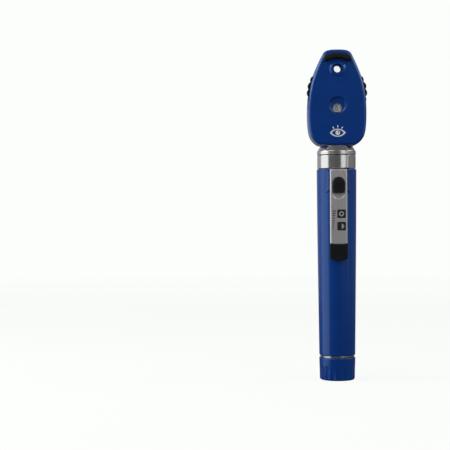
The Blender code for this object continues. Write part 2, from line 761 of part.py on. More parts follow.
def make_readout_scoop():
    """A funnel from the round readout recess down to the lens, which sits low in it."""
    mouth = -HEAD_FRONT + 0.2 * MM
    floor = -READOUT_FLOOR
    mesh = bpy.data.meshes.new("readout_scoop")
    shape = bmesh.new()
    bmesh.ops.create_cone(
        shape,
        cap_ends=True,
        segments=32,
        radius1=READOUT_LENS_RADIUS + 0.4 * MM,
        radius2=READOUT_RADIUS + 0.25 * MM,
        depth=mouth - floor,
    )
    for vertex in shape.verts:
        vertex.co.y += READOUT_HEIGHT if vertex.co.z > 0 else READOUT_LENS_HEIGHT
        vertex.co.z += (mouth + floor) / 2
    shape.to_mesh(mesh)
    shape.free()
    return place("readout_scoop", mesh, None, "front")


def make_rear_shell():
    shell = shell_half("head_rear_shell", SEAM_HALF_GAP, HEAD_BACK, BACK_FILLET, -1)
    cavity = plate("rear_cavity", [head_outline(HEAD_WALL)], -1 * MM, HEAD_BACK - HEAD_WALL)
    for index, (bottom, top, front) in enumerate(CRADLES):
        rib = block(f"cradle_{index}", (-4.0 * MM, front, bottom), (4.0 * MM, 7.2 * MM, top))
        cut(cavity, rib)
    pillar_at = (DETENT_PILLAR_X, 0, WHEEL_HEIGHT)
    cut(cavity, disc("detent_pillar", 1.4 * MM, -7 * MM, -0.95 * MM, facing="front", at=pillar_at))
    post_places = [(side * POST_X, 0, POST_HEIGHT) for side in (-1, 1)]
    for index, at in enumerate(post_places):
        cut(cavity, disc(f"rear_post_{index}", 2.6 * MM, -7 * MM, -0.35 * MM, facing="front", at=at))
    window = block("window_opening", (-3.7 * MM, 5 * MM, 161.8 * MM), (3.7 * MM, 9 * MM, 170.2 * MM))
    ledge = block("window_ledge", (-4.5 * MM, 7.0 * MM, 160.9 * MM), (4.5 * MM, 9 * MM, 171.1 * MM))
    rim_slot = block("aperture_slot", (-6.3 * MM, 5.5 * MM, 132.0 * MM), (6.3 * MM, 9 * MM, 134.0 * MM))
    pin_hole = disc("aperture_pin_hole", 0.95 * MM, 129 * MM, 137 * MM, at=(0, APERTURE_Y, 0))
    neck_hole = disc("rear_neck_hole", 6.3 * MM, 123 * MM, 128.3 * MM, steps=32)
    cut(shell, cavity, window, ledge, rim_slot, pin_hole, neck_hole)
    for index, at in enumerate(post_places):
        counterbore = disc(f"counterbore_{index}", 2.1 * MM, -9 * MM, -5.9 * MM, facing="front", at=at)
        hole = disc(f"rear_post_hole_{index}", 1.3 * MM, -7 * MM, 1 * MM, facing="front", at=at)
        cut(shell, counterbore, hole)


def make_rear_window():
    block("rear_window", (-4.2 * MM, 7.3 * MM, 161.2 * MM), (4.2 * MM, 7.9 * MM, 170.8 * MM), GLASS)


def make_head_screws():
    for name, side in (("head_screw_left", -1), ("head_screw_right", 1)):
        at = (side * POST_X, 0, POST_HEIGHT)
        profile = (
            (0, 4.0 * MM),
            (0.9 * MM, 4.0 * MM),
            (0.9 * MM, -6.2 * MM),
            (1.75 * MM, -6.2 * MM),
            (1.75 * MM, -7.3 * MM),
            (1.4 * MM, -7.6 * MM),
            (0, -7.6 * MM),
        )
        screw = turned(name, profile, STEEL, facing="front", at=at)
        for arm, (half_x, half_z) in enumerate(((1.1, 0.25), (0.25, 1.1))):
            slot = block(
                f"{name}_slot_{arm}",
                (at[0] - half_x * MM, 7.0 * MM, POST_HEIGHT - half_z * MM),
                (at[0] + half_x * MM, 8.5 * MM, POST_HEIGHT + half_z * MM),
            )
            cut(screw, slot)


def make_brow_rest():
    """The soft crescent above the viewing hole that rests on the examiner's brow."""
    radius = 12.7 * MM
    width = 3.05 * MM
    middle_height = 171.45 * MM
    sweep = 26.6
    path = arc((0, middle_height - radius), radius, 90 + sweep, 90 - sweep, 12)
    edge = band(path, width)
    first_half, second_half = edge[: len(path)], edge[len(path) :]
    end_right = arc(path[-1], width / 2, 90 - sweep, -90 - sweep, 6)[1:-1]
    end_left = arc(path[0], width / 2, -90 + sweep, -270 + sweep, 6)[1:-1]
    outline = [*first_half, *end_right, *second_half, *end_left]
    rest = plate("brow_rest", [outline], -10.5 * MM, HEAD_FRONT - GAP, RUBBER)
    round_edges(rest, 0.9 * MM, 3, lambda end: end.z > 0.5 * MM)


# Lens wheel


def wheel_outline():
    """A scalloped rim for the fingertip, with a sharp notch between two round lobes."""
    points = []
    per_lobe = 4
    count = WHEEL_LOBES * per_lobe
    for index in range(count):
        angle = 2 * math.pi * index / count
        lobe = abs(math.cos(angle * WHEEL_LOBES / 2))
        radius = WHEEL_RADIUS - WHEEL_NOTCH * (1 - lobe)
        points.append((radius * math.sin(angle), WHEEL_HEIGHT + radius * math.cos(angle)))
    return points


def lens_place(index):
    """Centre (x, z) of a lens position, counted clockwise from the top as the examiner sees it."""
    angle = 2 * math.pi * index / LENS_POSITIONS
    return LENS_CIRCLE * math.sin(angle), WHEEL_HEIGHT + LENS_CIRCLE * math.cos(angle)


def make_lens_wheel():
    holes = [circle(lens_place(0), OPEN_HOLE_RADIUS, 16)]
    holes += [circle(lens_place(index), LENS_HOLE_RADIUS, 10) for index in range(1, LENS_POSITIONS)]
    holes.append(circle((0, WHEEL_HEIGHT), AXLE_RADIUS + 0.1 * MM, 24))
    wheel = plate("lens_wheel", [wheel_outline(), *holes], WHEEL_FRONT, WHEEL_BACK, BLACK)
    centre = (0, 0, WHEEL_HEIGHT)
    recess = disc("dial_recess", DIAL_RADIUS + 0.2 * MM, 4.7 * MM, 6 * MM, None, "front", centre, ROUND_STEPS)
    cut(wheel, recess)
    tube("dial_disc", DIAL_RADIUS, 2.0 * MM, 4.95 * MM, 5.35 * MM, IVORY, "front", centre, ROUND_STEPS)
    for index in range(1, LENS_POSITIONS):
        make_corrective_lens(index)


def make_corrective_lens(index):
    x, z = lens_place(index)
    edge_front = 5.1 * MM
    edge_back = 3.7 * MM
    profile = (
        (0, edge_front + 0.15 * MM),
        (LENS_RADIUS, edge_front),
        (LENS_RADIUS, edge_back),
        (0, edge_back - 0.15 * MM),
    )
    turned(f"corrective_lens_{index:02d}", profile, GLASS, "front", (x, 0, z), 10)


def make_wheel_axle():
    profile = (
        (0, 6.9 * MM),
        (AXLE_RADIUS, 6.9 * MM),
        (AXLE_RADIUS, 3.2 * MM),
        (2.2 * MM, 3.2 * MM),
        (2.2 * MM, 2.8 * MM),
        (0, 2.8 * MM),
    )
    turned("lens_wheel_axle", profile, STEEL, "front", (0, 0, WHEEL_HEIGHT))


def make_detent():
    path = ((12.3 * MM, 0.5 * MM), (10.8 * MM, 0.5 * MM), (9.7 * MM, -0.95 * MM), (7.4 * MM, -0.95 * MM))
    half_width = 1.2 * MM
    outline = band(path, 0.3 * MM)
    plate(
        "detent_spring", [outline], WHEEL_HEIGHT - half_width, WHEEL_HEIGHT + half_width, STEEL, "up"
    )
    ball = [(DETENT_BALL_RADIUS * x, DETENT_BALL_RADIUS * z) for x, z in arc((0, 0), 1, 90, -90, 8)]
    ball[0] = (0, DETENT_BALL_RADIUS)
    ball[-1] = (0, -DETENT_BALL_RADIUS)
    turned("detent_ball", ball, STEEL, at=(DETENT_X, DETENT_BALL_Y, WHEEL_HEIGHT), steps=16)


# Optical train


def make_lamp():
    tube("lamp_socket", 4.7 * MM, 3.6 * MM, 115.5 * MM, 126.5 * MM, IVORY)
    base = (
        (0, 121.6 * MM),
        (3.3 * MM, 121.6 * MM),
        (3.3 * MM, 114.0 * MM),
        (1.1 * MM, 113.4 * MM),
        (1.1 * MM, 112.9 * MM),
        (0, 112.9 * MM),
    )
    turned("lamp_base", base, BRASS)
    bulb_radius = 2.6 * MM
    dome_base = 124.2 * MM
    dome = arc((0, dome_base), bulb_radius, 90, 0, 5)
    dome[0] = (0, dome_base + bulb_radius)
    turned("lamp_bulb", [*dome, (bulb_radius, 121.9 * MM), (0, 121.9 * MM)], GLASS)


def make_lens(name, radius, bottom, top, bulge, at=(0, 0, 0), facing="up"):
    """A lens with both faces rounded out by the bulge."""
    upper = [(0, top + bulge), (radius * 0.6, top + bulge * 0.64), (radius, top)]
    lower = [(radius, bottom), (radius * 0.6, bottom - bulge * 0.64), (0, bottom - bulge)]
    turned(name, upper + lower, GLASS, facing, at)


def make_optics():
    tube("condenser_tube", 2.9 * MM, 2.5 * MM, 127.6 * MM, 131.9 * MM, BLACK)
    make_lens("condenser_lens", 2.3 * MM, 129.2 * MM, 130.2 * MM, 0.5 * MM)
    tube("objective_tube", TUBE_BORE + TUBE_WALL, TUBE_BORE, 134.3 * MM, 156.4 * MM, BLACK)
    make_lens("objective_lens", TUBE_BORE - 0.2 * MM, 150.0 * MM, 150.9 * MM, 0.3 * MM)
    make_lens(
        "readout_lens",
        READOUT_LENS_RADIUS,
        6.0 * MM,
        6.7 * MM,
        0.25 * MM,
        at=(0, 0, READOUT_LENS_HEIGHT),
        facing="front",
    )


def make_mirror():
    """The light comes up the tube and the mirror, just below the line of sight, turns it to +Y."""
    bracket = tube("mirror_bracket", 3.1 * MM, TUBE_BORE, 156.7 * MM, 158.0 * MM, BLACK)
    for side in (-1, 1):
        inner, outer = sorted((side * 2.5 * MM, side * 3.1 * MM))
        arm = block(f"mirror_arm_{side}", (inner, -1.9 * MM, 157.5 * MM), (outer, 1.7 * MM, 161.9 * MM))
        join(bracket, arm)
    mesh = bpy.data.meshes.new("mirror")
    shape = bmesh.new()
    bmesh.ops.create_cube(shape, size=1.0)
    for vertex in shape.verts:
        vertex.co = (vertex.co.x * 4.4 * MM, vertex.co.y * 5.0 * MM, vertex.co.z * 0.6 * MM)
    shape.to_mesh(mesh)
    shape.free()
    mirror = place("mirror", mesh, MIRROR, at=(0, -0.1 * MM, MIRROR_HEIGHT))
    mirror.rotation_euler = (math.radians(45), 0, 0)


def make_aperture_wheel():
    centre = (0, APERTURE_Y)
    rim = []
    teeth = 24
    for index in range(teeth * 3):
        angle = 2 * math.pi * index / (teeth * 3)
        radius = APERTURE_WHEEL_RADIUS - (0.3 * MM if index % 3 == 0 else 0)
        rim.append((radius * math.cos(angle), APERTURE_Y + radius * math.sin(angle)))
    holes = []
    for index, radius in enumerate(APERTURE_RADII):
        angle = -math.pi / 2 + 2 * math.pi * index / len(APERTURE_RADII)
        place_of_hole = (APERTURE_Y * math.cos(angle), APERTURE_Y + APERTURE_Y * math.sin(angle))
        holes.append(circle(place_of_hole, radius, 16))
    holes.append(circle(centre, APERTURE_AXLE_RADIUS + 0.1 * MM, 16))
    plate("aperture_wheel", [rim, *holes], APERTURE_BOTTOM, APERTURE_TOP, BLACK, "up")
    axle_at = (0, APERTURE_Y, 0)
    disc("aperture_axle", APERTURE_AXLE_RADIUS, 129.9 * MM, 136.1 * MM, STEEL, at=axle_at)


def main():
    make_handle_tube()
    make_handle_collar()
    make_neck_thread()
    make_contacts()
    make_cell("battery_lower", LOWER_CELL_BOTTOM)
    make_cell("battery_upper", UPPER_CELL_BOTTOM)
    make_bottom_thread()
    make_end_cap()
    make_cap_spring()
    make_clip()
    make_clip_tip()
    make_switch()
    make_head_collar()
    make_front_shell()
    make_rear_shell()
    make_rear_window()
    make_head_screws()
    make_brow_rest()
    make_lens_wheel()
    make_wheel_axle()
    make_detent()
    make_lamp()
    make_optics()
    make_mirror()
    make_aperture_wheel()


main()
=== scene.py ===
"""Looks of a pocket ophthalmoscope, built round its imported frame.

Lengths are in metres, in the frame's own axes: +Z runs up the handle and the examiner's side faces -Y.
Places and sizes come from the boxes of the frame's nodes wherever a node has them.
"""

import math

import bmesh
import bpy
from mathutils import Matrix, Vector


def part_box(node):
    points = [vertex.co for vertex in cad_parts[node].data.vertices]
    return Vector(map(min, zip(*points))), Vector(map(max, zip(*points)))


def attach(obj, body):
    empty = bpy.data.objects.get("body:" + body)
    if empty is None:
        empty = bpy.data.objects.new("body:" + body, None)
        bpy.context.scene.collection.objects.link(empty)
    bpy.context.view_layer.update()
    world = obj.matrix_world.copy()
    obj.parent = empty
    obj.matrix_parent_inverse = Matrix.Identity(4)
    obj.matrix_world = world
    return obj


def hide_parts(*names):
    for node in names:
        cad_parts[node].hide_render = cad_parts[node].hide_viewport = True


MM = 0.001


def mm(*lengths):
    """Lengths given in millimetres, in metres."""
    return tuple(length * MM for length in lengths)


FINE_STEPS = 128  # sides of a large turned piece
SMALL_STEPS = 40  # sides of a small turned piece
CREASE = 33  # edges sharper than this, in degrees, are shaded as creases
SKIN = 0.02 * MM  # how far printed marks stand on the surface they are printed on

# Head casing
HEAD_WALL = 1.5 * MM
HEAD_FACE = -8.0 * MM  # depth of the casing's flat face
FRONT_FILLET = 1.5 * MM
BACK_FILLET = 2.5 * MM
# Knots of the outline's right half, from the bottom up:
# (x, height, direction of the curve in degrees, handle length before, handle length after), in millimetres
HEAD_KNOTS = (
    (0.0, 124.45, 0, 0.0, 2.9),
    (8.2, 124.45, 0, 2.9, 2.2),
    (13.85, 128.95, 63, 2.6, 2.8),
    (15.34, 142.3, 90, 5.0, 6.7),
    (12.24, 162.1, 110.3, 6.7, 3.4),
    (7.6, 172.6, 118, 3.3, 1.0),
    (4.9, 174.6, 166, 1.3, 1.8),
    (0.0, 175.0, 180, 1.9, 0.0),
)
OUTLINE_STEPS = 12  # points between two knots
VIEW_HEIGHT = 164.7 * MM
VIEW_HOLE_RADIUS = 1.82 * MM
READOUT_HEIGHT = 145.5 * MM
POST_X = 9.3 * MM
POST_HEIGHT = 131.2 * MM
NECK_HOLE = mm(6.3, 123, 128.3)  # radius, bottom, top
# Ribs in the rear shell that the tubes lie against: (bottom, top, front)
CRADLES = (
    mm(129.6, 131.2, 3.2),
    mm(134.8, 136.4, 2.8),
    mm(150.4, 152.0, 2.8),
)

# Lens wheel
LENS_POSITIONS = 20  # position 0, at the top, is open; the rest hold a lens
LENS_HOLE_RADIUS = 1.65 * MM
LENS_RADIUS = 1.5 * MM
OPEN_HOLE_RADIUS = 1.95 * MM
WHEEL_LOBES = 24
WHEEL_NOTCH = 0.8 * MM
NUMERAL_SIZE = 3.9 * MM
NUMERAL_REACH = 8.25 * MM  # from the wheel's centre
NUMERAL_LEAD = 2.2  # degrees that the dial is set round, so that its numbers sit straight in the readout
NEGATIVE_POWERS = (1, 2, 3, 4, 6, 8, 10, 15, 20)
POSITIVE_POWERS = (20, 15, 12, 10, 8, 6, 4, 3, 2, 1)

# Openings of the aperture wheel, from the one in use round
APERTURE_RADII = mm(1.6, 1.2, 0.8, 0.45, 1.4)

# Handle
HANDLE_BORE = 8.3 * MM
HANDLE_FOOT_RADIUS = 9.53 * MM
# (radius, height) down the handle, which tapers faster towards its foot
HANDLE_TAPER = (mm(10.39, 84), mm(10.17, 62), mm(9.89, 42))
TAPER_BLEND = 30 * MM  # radius of the curve between two tapers
THREAD_PITCH = 1.5 * MM
FLUTE_COUNT = 18
FLUTE_DEPTH = 0.5 * MM
FLUTE_TOP = 7.6 * MM
FLUTE_BOTTOM = 1.5 * MM  # the flutes are at their deepest below this

# Linear colours
BLUE = (0.0008, 0.049, 0.3)
BLUE_DEEP = (0.0006, 0.041, 0.265)
CHROME = (0.78, 0.775, 0.78)
STEEL = (0.72, 0.705, 0.72)
BLACK = (0.0045, 0.0045, 0.006)
RUBBER = (0.005, 0.0055, 0.0065)
BACKGROUND = (0.974, 0.991, 0.974)

# Stage
FLOOR_RADIUS = 8.0
FLOOR_GLOW = 0.9  # of the background, under the object
FLOOR_GLOW_FAR = 0.985  # of the background, away from the object
ROOM_LIGHT = 0.09
CAMERA_PLACE = (-0.05965, -0.614, 0.08253)
CAMERA_LENS = 92
CAMERA_ROLL = math.radians(0.25)

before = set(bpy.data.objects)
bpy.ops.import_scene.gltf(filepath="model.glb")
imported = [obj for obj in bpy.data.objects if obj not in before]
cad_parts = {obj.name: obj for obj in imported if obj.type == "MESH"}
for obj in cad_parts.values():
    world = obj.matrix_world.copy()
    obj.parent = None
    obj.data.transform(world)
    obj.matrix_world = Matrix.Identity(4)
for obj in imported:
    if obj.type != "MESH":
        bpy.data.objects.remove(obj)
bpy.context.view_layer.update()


def middle_height(node):
    low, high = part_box(node)
    return (low.z + high.z) / 2


WHEEL_HEIGHT = middle_height("lens_wheel")


# Points and outlines


def arc(centre, radius, start, end, steps):
    """Points on an arc, from the start angle to the end angle in degrees."""
    angles = [math.radians(start + (end - start) * i / steps) for i in range(steps + 1)]
    return [(centre[0] + radius * math.cos(a), centre[1] + radius * math.sin(a)) for a in angles]


def circle(centre, radius, steps):
    """Points round a circle, each of them once."""
    return arc(centre, radius, 0, 360 * (steps - 1) / steps, steps - 1)


def filleted(corners, closed=False, steps=5):
    """A line through corners (x, y, radius), each one rounded to its radius."""
    points = []
    for index, (x, y, radius) in enumerate(corners):
        corner = Vector((x, y))
        if radius == 0 or (not closed and index in (0, len(corners) - 1)):
            points.append((x, y))
            continue
        back = (Vector(corners[index - 1][:2]) - corner).normalized()
        ahead = (Vector(corners[(index + 1) % len(corners)][:2]) - corner).normalized()
        half = back.angle(ahead) / 2
        centre = corner + (back + ahead).normalized() * (radius / math.sin(half))
        start = corner + back * (radius / math.tan(half)) - centre
        end = corner + ahead * (radius / math.tan(half)) - centre
        first = math.atan2(start.y, start.x)
        turn = (math.atan2(end.y, end.x) - first + math.pi) % (2 * math.pi) - math.pi
        for step in range(steps + 1):
            angle = first + turn * step / steps
            points.append((centre.x + radius * math.cos(angle), centre.y + radius * math.sin(angle)))
    return points


def rounded_rectangle(low, high, radius, steps=5):
    corners = ((low[0], low[1]), (high[0], low[1]), (high[0], high[1]), (low[0], high[1]))
    return filleted([(x, y, radius) for x, y in corners], closed=True, steps=steps)


def stadium(half_width, bottom, top):
    """A slot's outline with round ends, upright on x = 0."""
    upper = arc((0, top - half_width), half_width, 0, 180, 20)
    lower = arc((0, bottom + half_width), half_width, 180, 360, 20)
    return upper + lower


def drawn_in(outline, inset):
    """An anticlockwise outline moved inwards by the inset."""
    moved = []
    for index, (x, y) in enumerate(outline):
        before = outline[index - 1]
        after = outline[(index + 1) % len(outline)]
        run, rise = after[0] - before[0], after[1] - before[1]
        length = math.hypot(run, rise)
        moved.append((x - rise / length * inset, y + run / length * inset))
    return moved


def band(path, width):
    """The outline of a strip of even width along an open path."""
    sides = ([], [])
    for index, (x, y) in enumerate(path):
        before = path[max(index - 1, 0)]
        after = path[min(index + 1, len(path) - 1)]
        run, rise = after[0] - before[0], after[1] - before[1]
        length = math.hypot(run, rise)
        for side, sign in zip(sides, (1, -1), strict=True):
            side.append((x - sign * rise / length * width / 2, y + sign * run / length * width / 2))
    return sides[0] + sides[1][::-1]


def head_outline():
    """Points round the head's outline, anticlockwise from the bottom."""
    half = []
    for start, end in zip(HEAD_KNOTS, HEAD_KNOTS[1:]):
        x0, z0, angle0, _, reach0 = start
        x3, z3, angle3, reach3, _ = end
        a0, a3 = math.radians(angle0), math.radians(angle3)
        x1, z1 = x0 + reach0 * math.cos(a0), z0 + reach0 * math.sin(a0)
        x2, z2 = x3 - reach3 * math.cos(a3), z3 - reach3 * math.sin(a3)
        for step in range(OUTLINE_STEPS):
            t = step / OUTLINE_STEPS
            weights = ((1 - t) ** 3, 3 * t * (1 - t) ** 2, 3 * t * t * (1 - t), t**3)
            x = sum(w * v for w, v in zip(weights, (x0, x1, x2, x3), strict=True))
            z = sum(w * v for w, v in zip(weights, (z0, z1, z2, z3), strict=True))
            half.append((x * MM, z * MM))
    top = (0.0, HEAD_KNOTS[-1][1] * MM)
    return half + [top] + [(-x, z) for x, z in reversed(half[1:])]


# Solids


def lofted(rings, closed=False):
    """A skin through rings of points. A ring of one point is a tip, and open ends are capped."""
    shape = bmesh.new()
    made = [[shape.verts.new(point) for point in ring] for ring in rings]
    pairs = list(zip(made, made[1:]))
    if closed:
        pairs.append((made[-1], made[0]))
    for one, two in pairs:
        count = max(len(one), len(two))
        for index in range(count):
            following = (index + 1) % count
            corners = (
                one[index % len(one)],
                one[following % len(one)],
                two[following % len(two)],
                two[index % len(two)],
            )
            shape.faces.new(tuple(dict.fromkeys(corners)))
    if not closed:
        for ring in (made[0], made[-1]):
            if len(ring) > 2:
                shape.faces.new(ring)
    bmesh.ops.recalc_face_normals(shape, faces=shape.faces)
    return shape


def level_ring(radius, height, steps):
    """A circle of points round the Z axis, or one point where the radius is nothing."""
    if radius < 0.001 * MM:
        return [(0, 0, height)]
    return [(x, y, height) for x, y in circle((0, 0), radius, steps)]


def level_rings(profile, steps):
    return [level_ring(radius, height, steps) for radius, height in profile]


def turned(profile, steps=SMALL_STEPS):
    """A piece turned about Z. The profile is (radius, height) points. If it misses the axis, it is a ring."""
    closed = profile[0][0] > 0 and profile[-1][0] > 0
    return lofted(level_rings(profile, steps), closed)


def drum(radius, low, high, edge=0.0, steps=SMALL_STEPS):
    """A round bar along Z with rounded rims."""
    corners = [(0, high, 0), (radius, high, edge), (radius, low, edge), (0, low, 0)]
    return turned(filleted(corners), steps)


def hoop(outer, inner, low, high, edge=0.0, steps=SMALL_STEPS):
    """A flat ring round Z with rounded rims."""
    corners = [(inner, high, edge), (outer, high, edge), (outer, low, edge), (inner, low, edge)]
    return turned(filleted(corners, closed=True, steps=3), steps)


def slab(outline, back, front, front_edge=0.0, back_edge=0.0, steps=6):
    """An upright plate. The outline is (x, z) points, and the rims of its two faces are rounded."""
    levels = []
    for index in range(steps + 1 if back_edge else 1):
        angle = math.pi / 2 * index / steps
        levels.append((back_edge * (1 - math.sin(angle)), back - back_edge * (1 - math.cos(angle))))
    for index in range(steps + 1 if front_edge else 1):
        angle = math.pi / 2 * index / steps
        levels.append((front_edge * (1 - math.cos(angle)), front + front_edge * (1 - math.sin(angle))))
    rings = [[(x, depth, z) for x, z in drawn_in(outline, inset)] for inset, depth in levels]
    return lofted(rings)


def box(low, high, radius=0.0, chosen=None, segments=5):
    """A box whose edges are rounded where both ends pass the chosen test."""
    shape = bmesh.new()
    bmesh.ops.create_cube(shape, size=1.0)
    for vertex in shape.verts:
        vertex.co = [(a + b) / 2 + (b - a) * part for a, b, part in zip(low, high, vertex.co, strict=True)]
    if radius:
        edges = [e for e in shape.edges if chosen is None or all(chosen(end.co) for end in e.verts)]
        rounding = {"offset": radius, "offset_type": "OFFSET", "segments": segments, "profile": 0.5}
        bmesh.ops.bevel(shape, geom=edges, affect="EDGES", clamp_overlap=True, **rounding)
    return shape


def upright_box(half_width, depths, heights, radius=0.0, chosen=None, segments=5):
    """A box centred on x = 0, between two depths and two heights."""
    low = (-half_width, depths[0], heights[0])
    high = (half_width, depths[1], heights[1])
    return box(low, high, radius, chosen, segments)


def moved(shape, matrix):
    bmesh.ops.transform(shape, matrix=matrix, verts=shape.verts)
    return shape


def facing_front(shape, x=0.0, z=0.0):
    """Turns a piece made along +Z to face -Y, centred at (x, z)."""
    return moved(shape, Matrix.Translation((x, 0, z)) @ Matrix.Rotation(math.pi / 2, 4, "X"))


def level_grooves(radius, half_length, edge, depth, heights):
    """Cutters for round-bottomed grooves across a face, one at each height."""
    grooves = []
    for height in heights:
        turn = Matrix.Translation((0, depth, height)) @ Matrix.Rotation(math.pi / 2, 4, "Y")
        grooves.append(moved(drum(radius, -half_length, half_length, edge, 20), turn))
    return gathered(grooves)


def as_mesh(name, shape):
    mesh = bpy.data.meshes.new(name)
    shape.to_mesh(mesh)
    shape.free()
    return mesh


def in_scene(name, data):
    """A new object, linked to the scene."""
    obj = bpy.data.objects.new(name, data)
    bpy.context.scene.collection.objects.link(obj)
    return obj


def gathered(shapes):
    """Several shapes as one, which don't touch each other."""
    whole = bmesh.new()
    for shape in shapes:
        mesh = as_mesh("part", shape)
        whole.from_mesh(mesh)
        bpy.data.meshes.remove(mesh)
    return whole


def combined(shape, operation, tools):
    """The result of a boolean, made with objects that are removed after it."""
    base = in_scene("base", as_mesh("base", shape))
    others = [in_scene("tool", as_mesh("tool", tool)) for tool in tools]
    for other in others:
        modifier = base.modifiers.new("step", "BOOLEAN")
        modifier.operation = operation
        modifier.object = other
        modifier.solver = "MANIFOLD"
    bpy.context.view_layer.update()
    graph = bpy.context.evaluated_depsgraph_get()
    mesh = bpy.data.meshes.new_from_object(base.evaluated_get(graph))
    result = bmesh.new()
    result.from_mesh(mesh)
    bpy.data.meshes.remove(mesh)
    for obj in [base, *others]:
        used = obj.data
        bpy.data.objects.remove(obj)
        bpy.data.meshes.remove(used)
    bmesh.ops.remove_doubles(result, verts=result.verts, dist=0.0005 * MM)
    return result


def cut(shape, *tools):
    return combined(shape, "DIFFERENCE", tools)


def join(shape, *tools):
    return combined(shape, "UNION", tools)


def piece(name, shape, material, body, replaced=()):
    """A finished piece that rides on a body, in place of the CAD nodes it stands for."""
    mesh = as_mesh(name, shape)
    mesh.shade_smooth()
    mesh.set_sharp_from_angle(angle=math.radians(CREASE))
    mesh.materials.append(material)
    obj = in_scene(name, mesh)
    normals = obj.modifiers.new("normals", "WEIGHTED_NORMAL")
    normals.keep_sharp = True
    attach(obj, body)
    if replaced:
        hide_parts(*replaced)
    return obj


# Materials


def new_material(name):
    material = bpy.data.materials.new(name)
    material.use_nodes = True
    return material, material.node_tree.nodes, material.node_tree.links


def stretched_noise(material, scale, stretch=(1, 1, 1)):
    """A noise in the piece's own space. The scale is features to a metre, stretched along the axes."""
    nodes, links = material.node_tree.nodes, material.node_tree.links
    place = nodes.new("ShaderNodeTexCoord")
    mapping = nodes.new("ShaderNodeMapping")
    mapping.inputs["Scale"].default_value = stretch
    noise = nodes.new("ShaderNodeTexNoise")
    noise.inputs["Scale"].default_value = scale
    noise.inputs["Detail"].default_value = 4.0
    links.new(place.outputs["Object"], mapping.inputs["Vector"])
    links.new(mapping.outputs["Vector"], noise.inputs["Vector"])
    return noise.outputs["Fac"]


def mixed_colour(material, fac, first, second):
    """A colour that runs from the first to the second as the noise rises."""
    ramp = material.node_tree.nodes.new("ShaderNodeValToRGB")
    ramp.color_ramp.elements[0].position = 0.35
    ramp.color_ramp.elements[0].color = (*first, 1)
    ramp.color_ramp.elements[1].position = 0.65
    ramp.color_ramp.elements[1].color = (*second, 1)
    material.node_tree.links.new(fac, ramp.inputs["Fac"])
    return ramp.outputs["Color"]


def ranged(material, value, low, high, start=0.3, end=0.7):
    """A value that goes from low to high as the given one goes from start to end."""
    scaled = material.node_tree.nodes.new("ShaderNodeMapRange")
    scaled.inputs["From Min"].default_value = start
    scaled.inputs["From Max"].default_value = end
    scaled.inputs["To Min"].default_value = low
    scaled.inputs["To Max"].default_value = high
    material.node_tree.links.new(value, scaled.inputs["Value"])
    return scaled.outputs["Result"]


def add_bump(material, height, strength, distance):
    nodes, links = material.node_tree.nodes, material.node_tree.links
    bump = nodes.new("ShaderNodeBump")
    bump.inputs["Strength"].default_value = strength
    bump.inputs["Distance"].default_value = distance
    links.new(height, bump.inputs["Height"])
    links.new(bump.outputs["Normal"], nodes["Principled BSDF"].inputs["Normal"])


def surface(
    name, colours, roughness, metallic=0.0, grain=2500, stretch=(1, 1, 1), bump=0.05, cloud=90, **sockets
):
    """A finish whose colour drifts in soft clouds, with a fine grain in its roughness and its relief."""
    material, nodes, links = new_material(name)
    shader = nodes["Principled BSDF"]
    shader.inputs["Metallic"].default_value = metallic
    for socket, value in sockets.items():
        shader.inputs[socket.replace("_", " ")].default_value = value
    clouds = stretched_noise(material, cloud)
    fine = stretched_noise(material, grain, stretch)
    links.new(mixed_colour(material, clouds, *colours), shader.inputs["Base Color"])
    links.new(ranged(material, fine, *roughness), shader.inputs["Roughness"])
    add_bump(material, fine, bump, 0.02 * MM)
    return material


def shade(colour, factor):
    return tuple(channel * factor for channel in colour)


def glass(name, tint, clear):
    """Clear glass that lets the light through and shows its gloss most at a glancing angle."""
    material, nodes, links = new_material(name)
    shader = nodes["Principled BSDF"]
    smear = stretched_noise(material, 300)
    links.new(mixed_colour(material, smear, tint, shade(tint, 0.94)), shader.inputs["Base Color"])
    links.new(ranged(material, smear, 0.02, 0.05), shader.inputs["Roughness"])
    facing = nodes.new("ShaderNodeLayerWeight")
    facing.inputs["Blend"].default_value = 0.25
    cover = ranged(material, facing.outputs["Facing"], clear, 0.75, 0.0, 1.0)
    links.new(cover, shader.inputs["Alpha"])
    return material


LACQUER = surface(
    "blue_lacquer",
    (BLUE_DEEP, BLUE),
    (0.19, 0.25),
    grain=2600,
    cloud=70,
    Specular_Tint=(0.55, 0.8, 1.0, 1.0),
    Specular_IOR_Level=0.8,
)
TURNED_CHROME = {"metallic": 1.0, "grain": 60, "stretch": (1, 1, 120)}  # brushed round the axis
CHROMED = surface("chrome", (shade(CHROME, 0.93), CHROME), (0.15, 0.21), **TURNED_CHROME)
SATIN_CHROME = surface(
    "satin_chrome", (shade(CHROME, 0.88), shade(CHROME, 0.96)), (0.21, 0.28), **TURNED_CHROME
)
PRESSED = surface(
    "clip_steel", (shade(STEEL, 0.92), STEEL), (0.26, 0.34), 0.6, grain=120, stretch=(60, 60, 1), bump=0.1
)
PLASTIC = surface(
    "black_plastic", (BLACK, shade(BLACK, 1.4)), (0.42, 0.55), grain=5000, bump=0.3, Specular_IOR_Level=0.3
)
SOFT = surface(
    "black_rubber", (RUBBER, shade(RUBBER, 1.5)), (0.6, 0.75), grain=4200, bump=0.6, Specular_IOR_Level=0.25
)
ANODISED = surface("black_anodised", (shade(BLACK, 1.2), shade(BLACK, 1.8)), (0.5, 0.62), 0.4, grain=6000)
TURNED_METAL = {"metallic": 1.0, "grain": 60, "stretch": (1, 1, 90)}
BRASS = surface("brass", ((0.62, 0.42, 0.15), (0.72, 0.52, 0.22)), (0.22, 0.34), **TURNED_METAL)
NICKEL = surface("nickel", ((0.6, 0.585, 0.55), (0.7, 0.69, 0.66)), (0.15, 0.26), **TURNED_METAL)
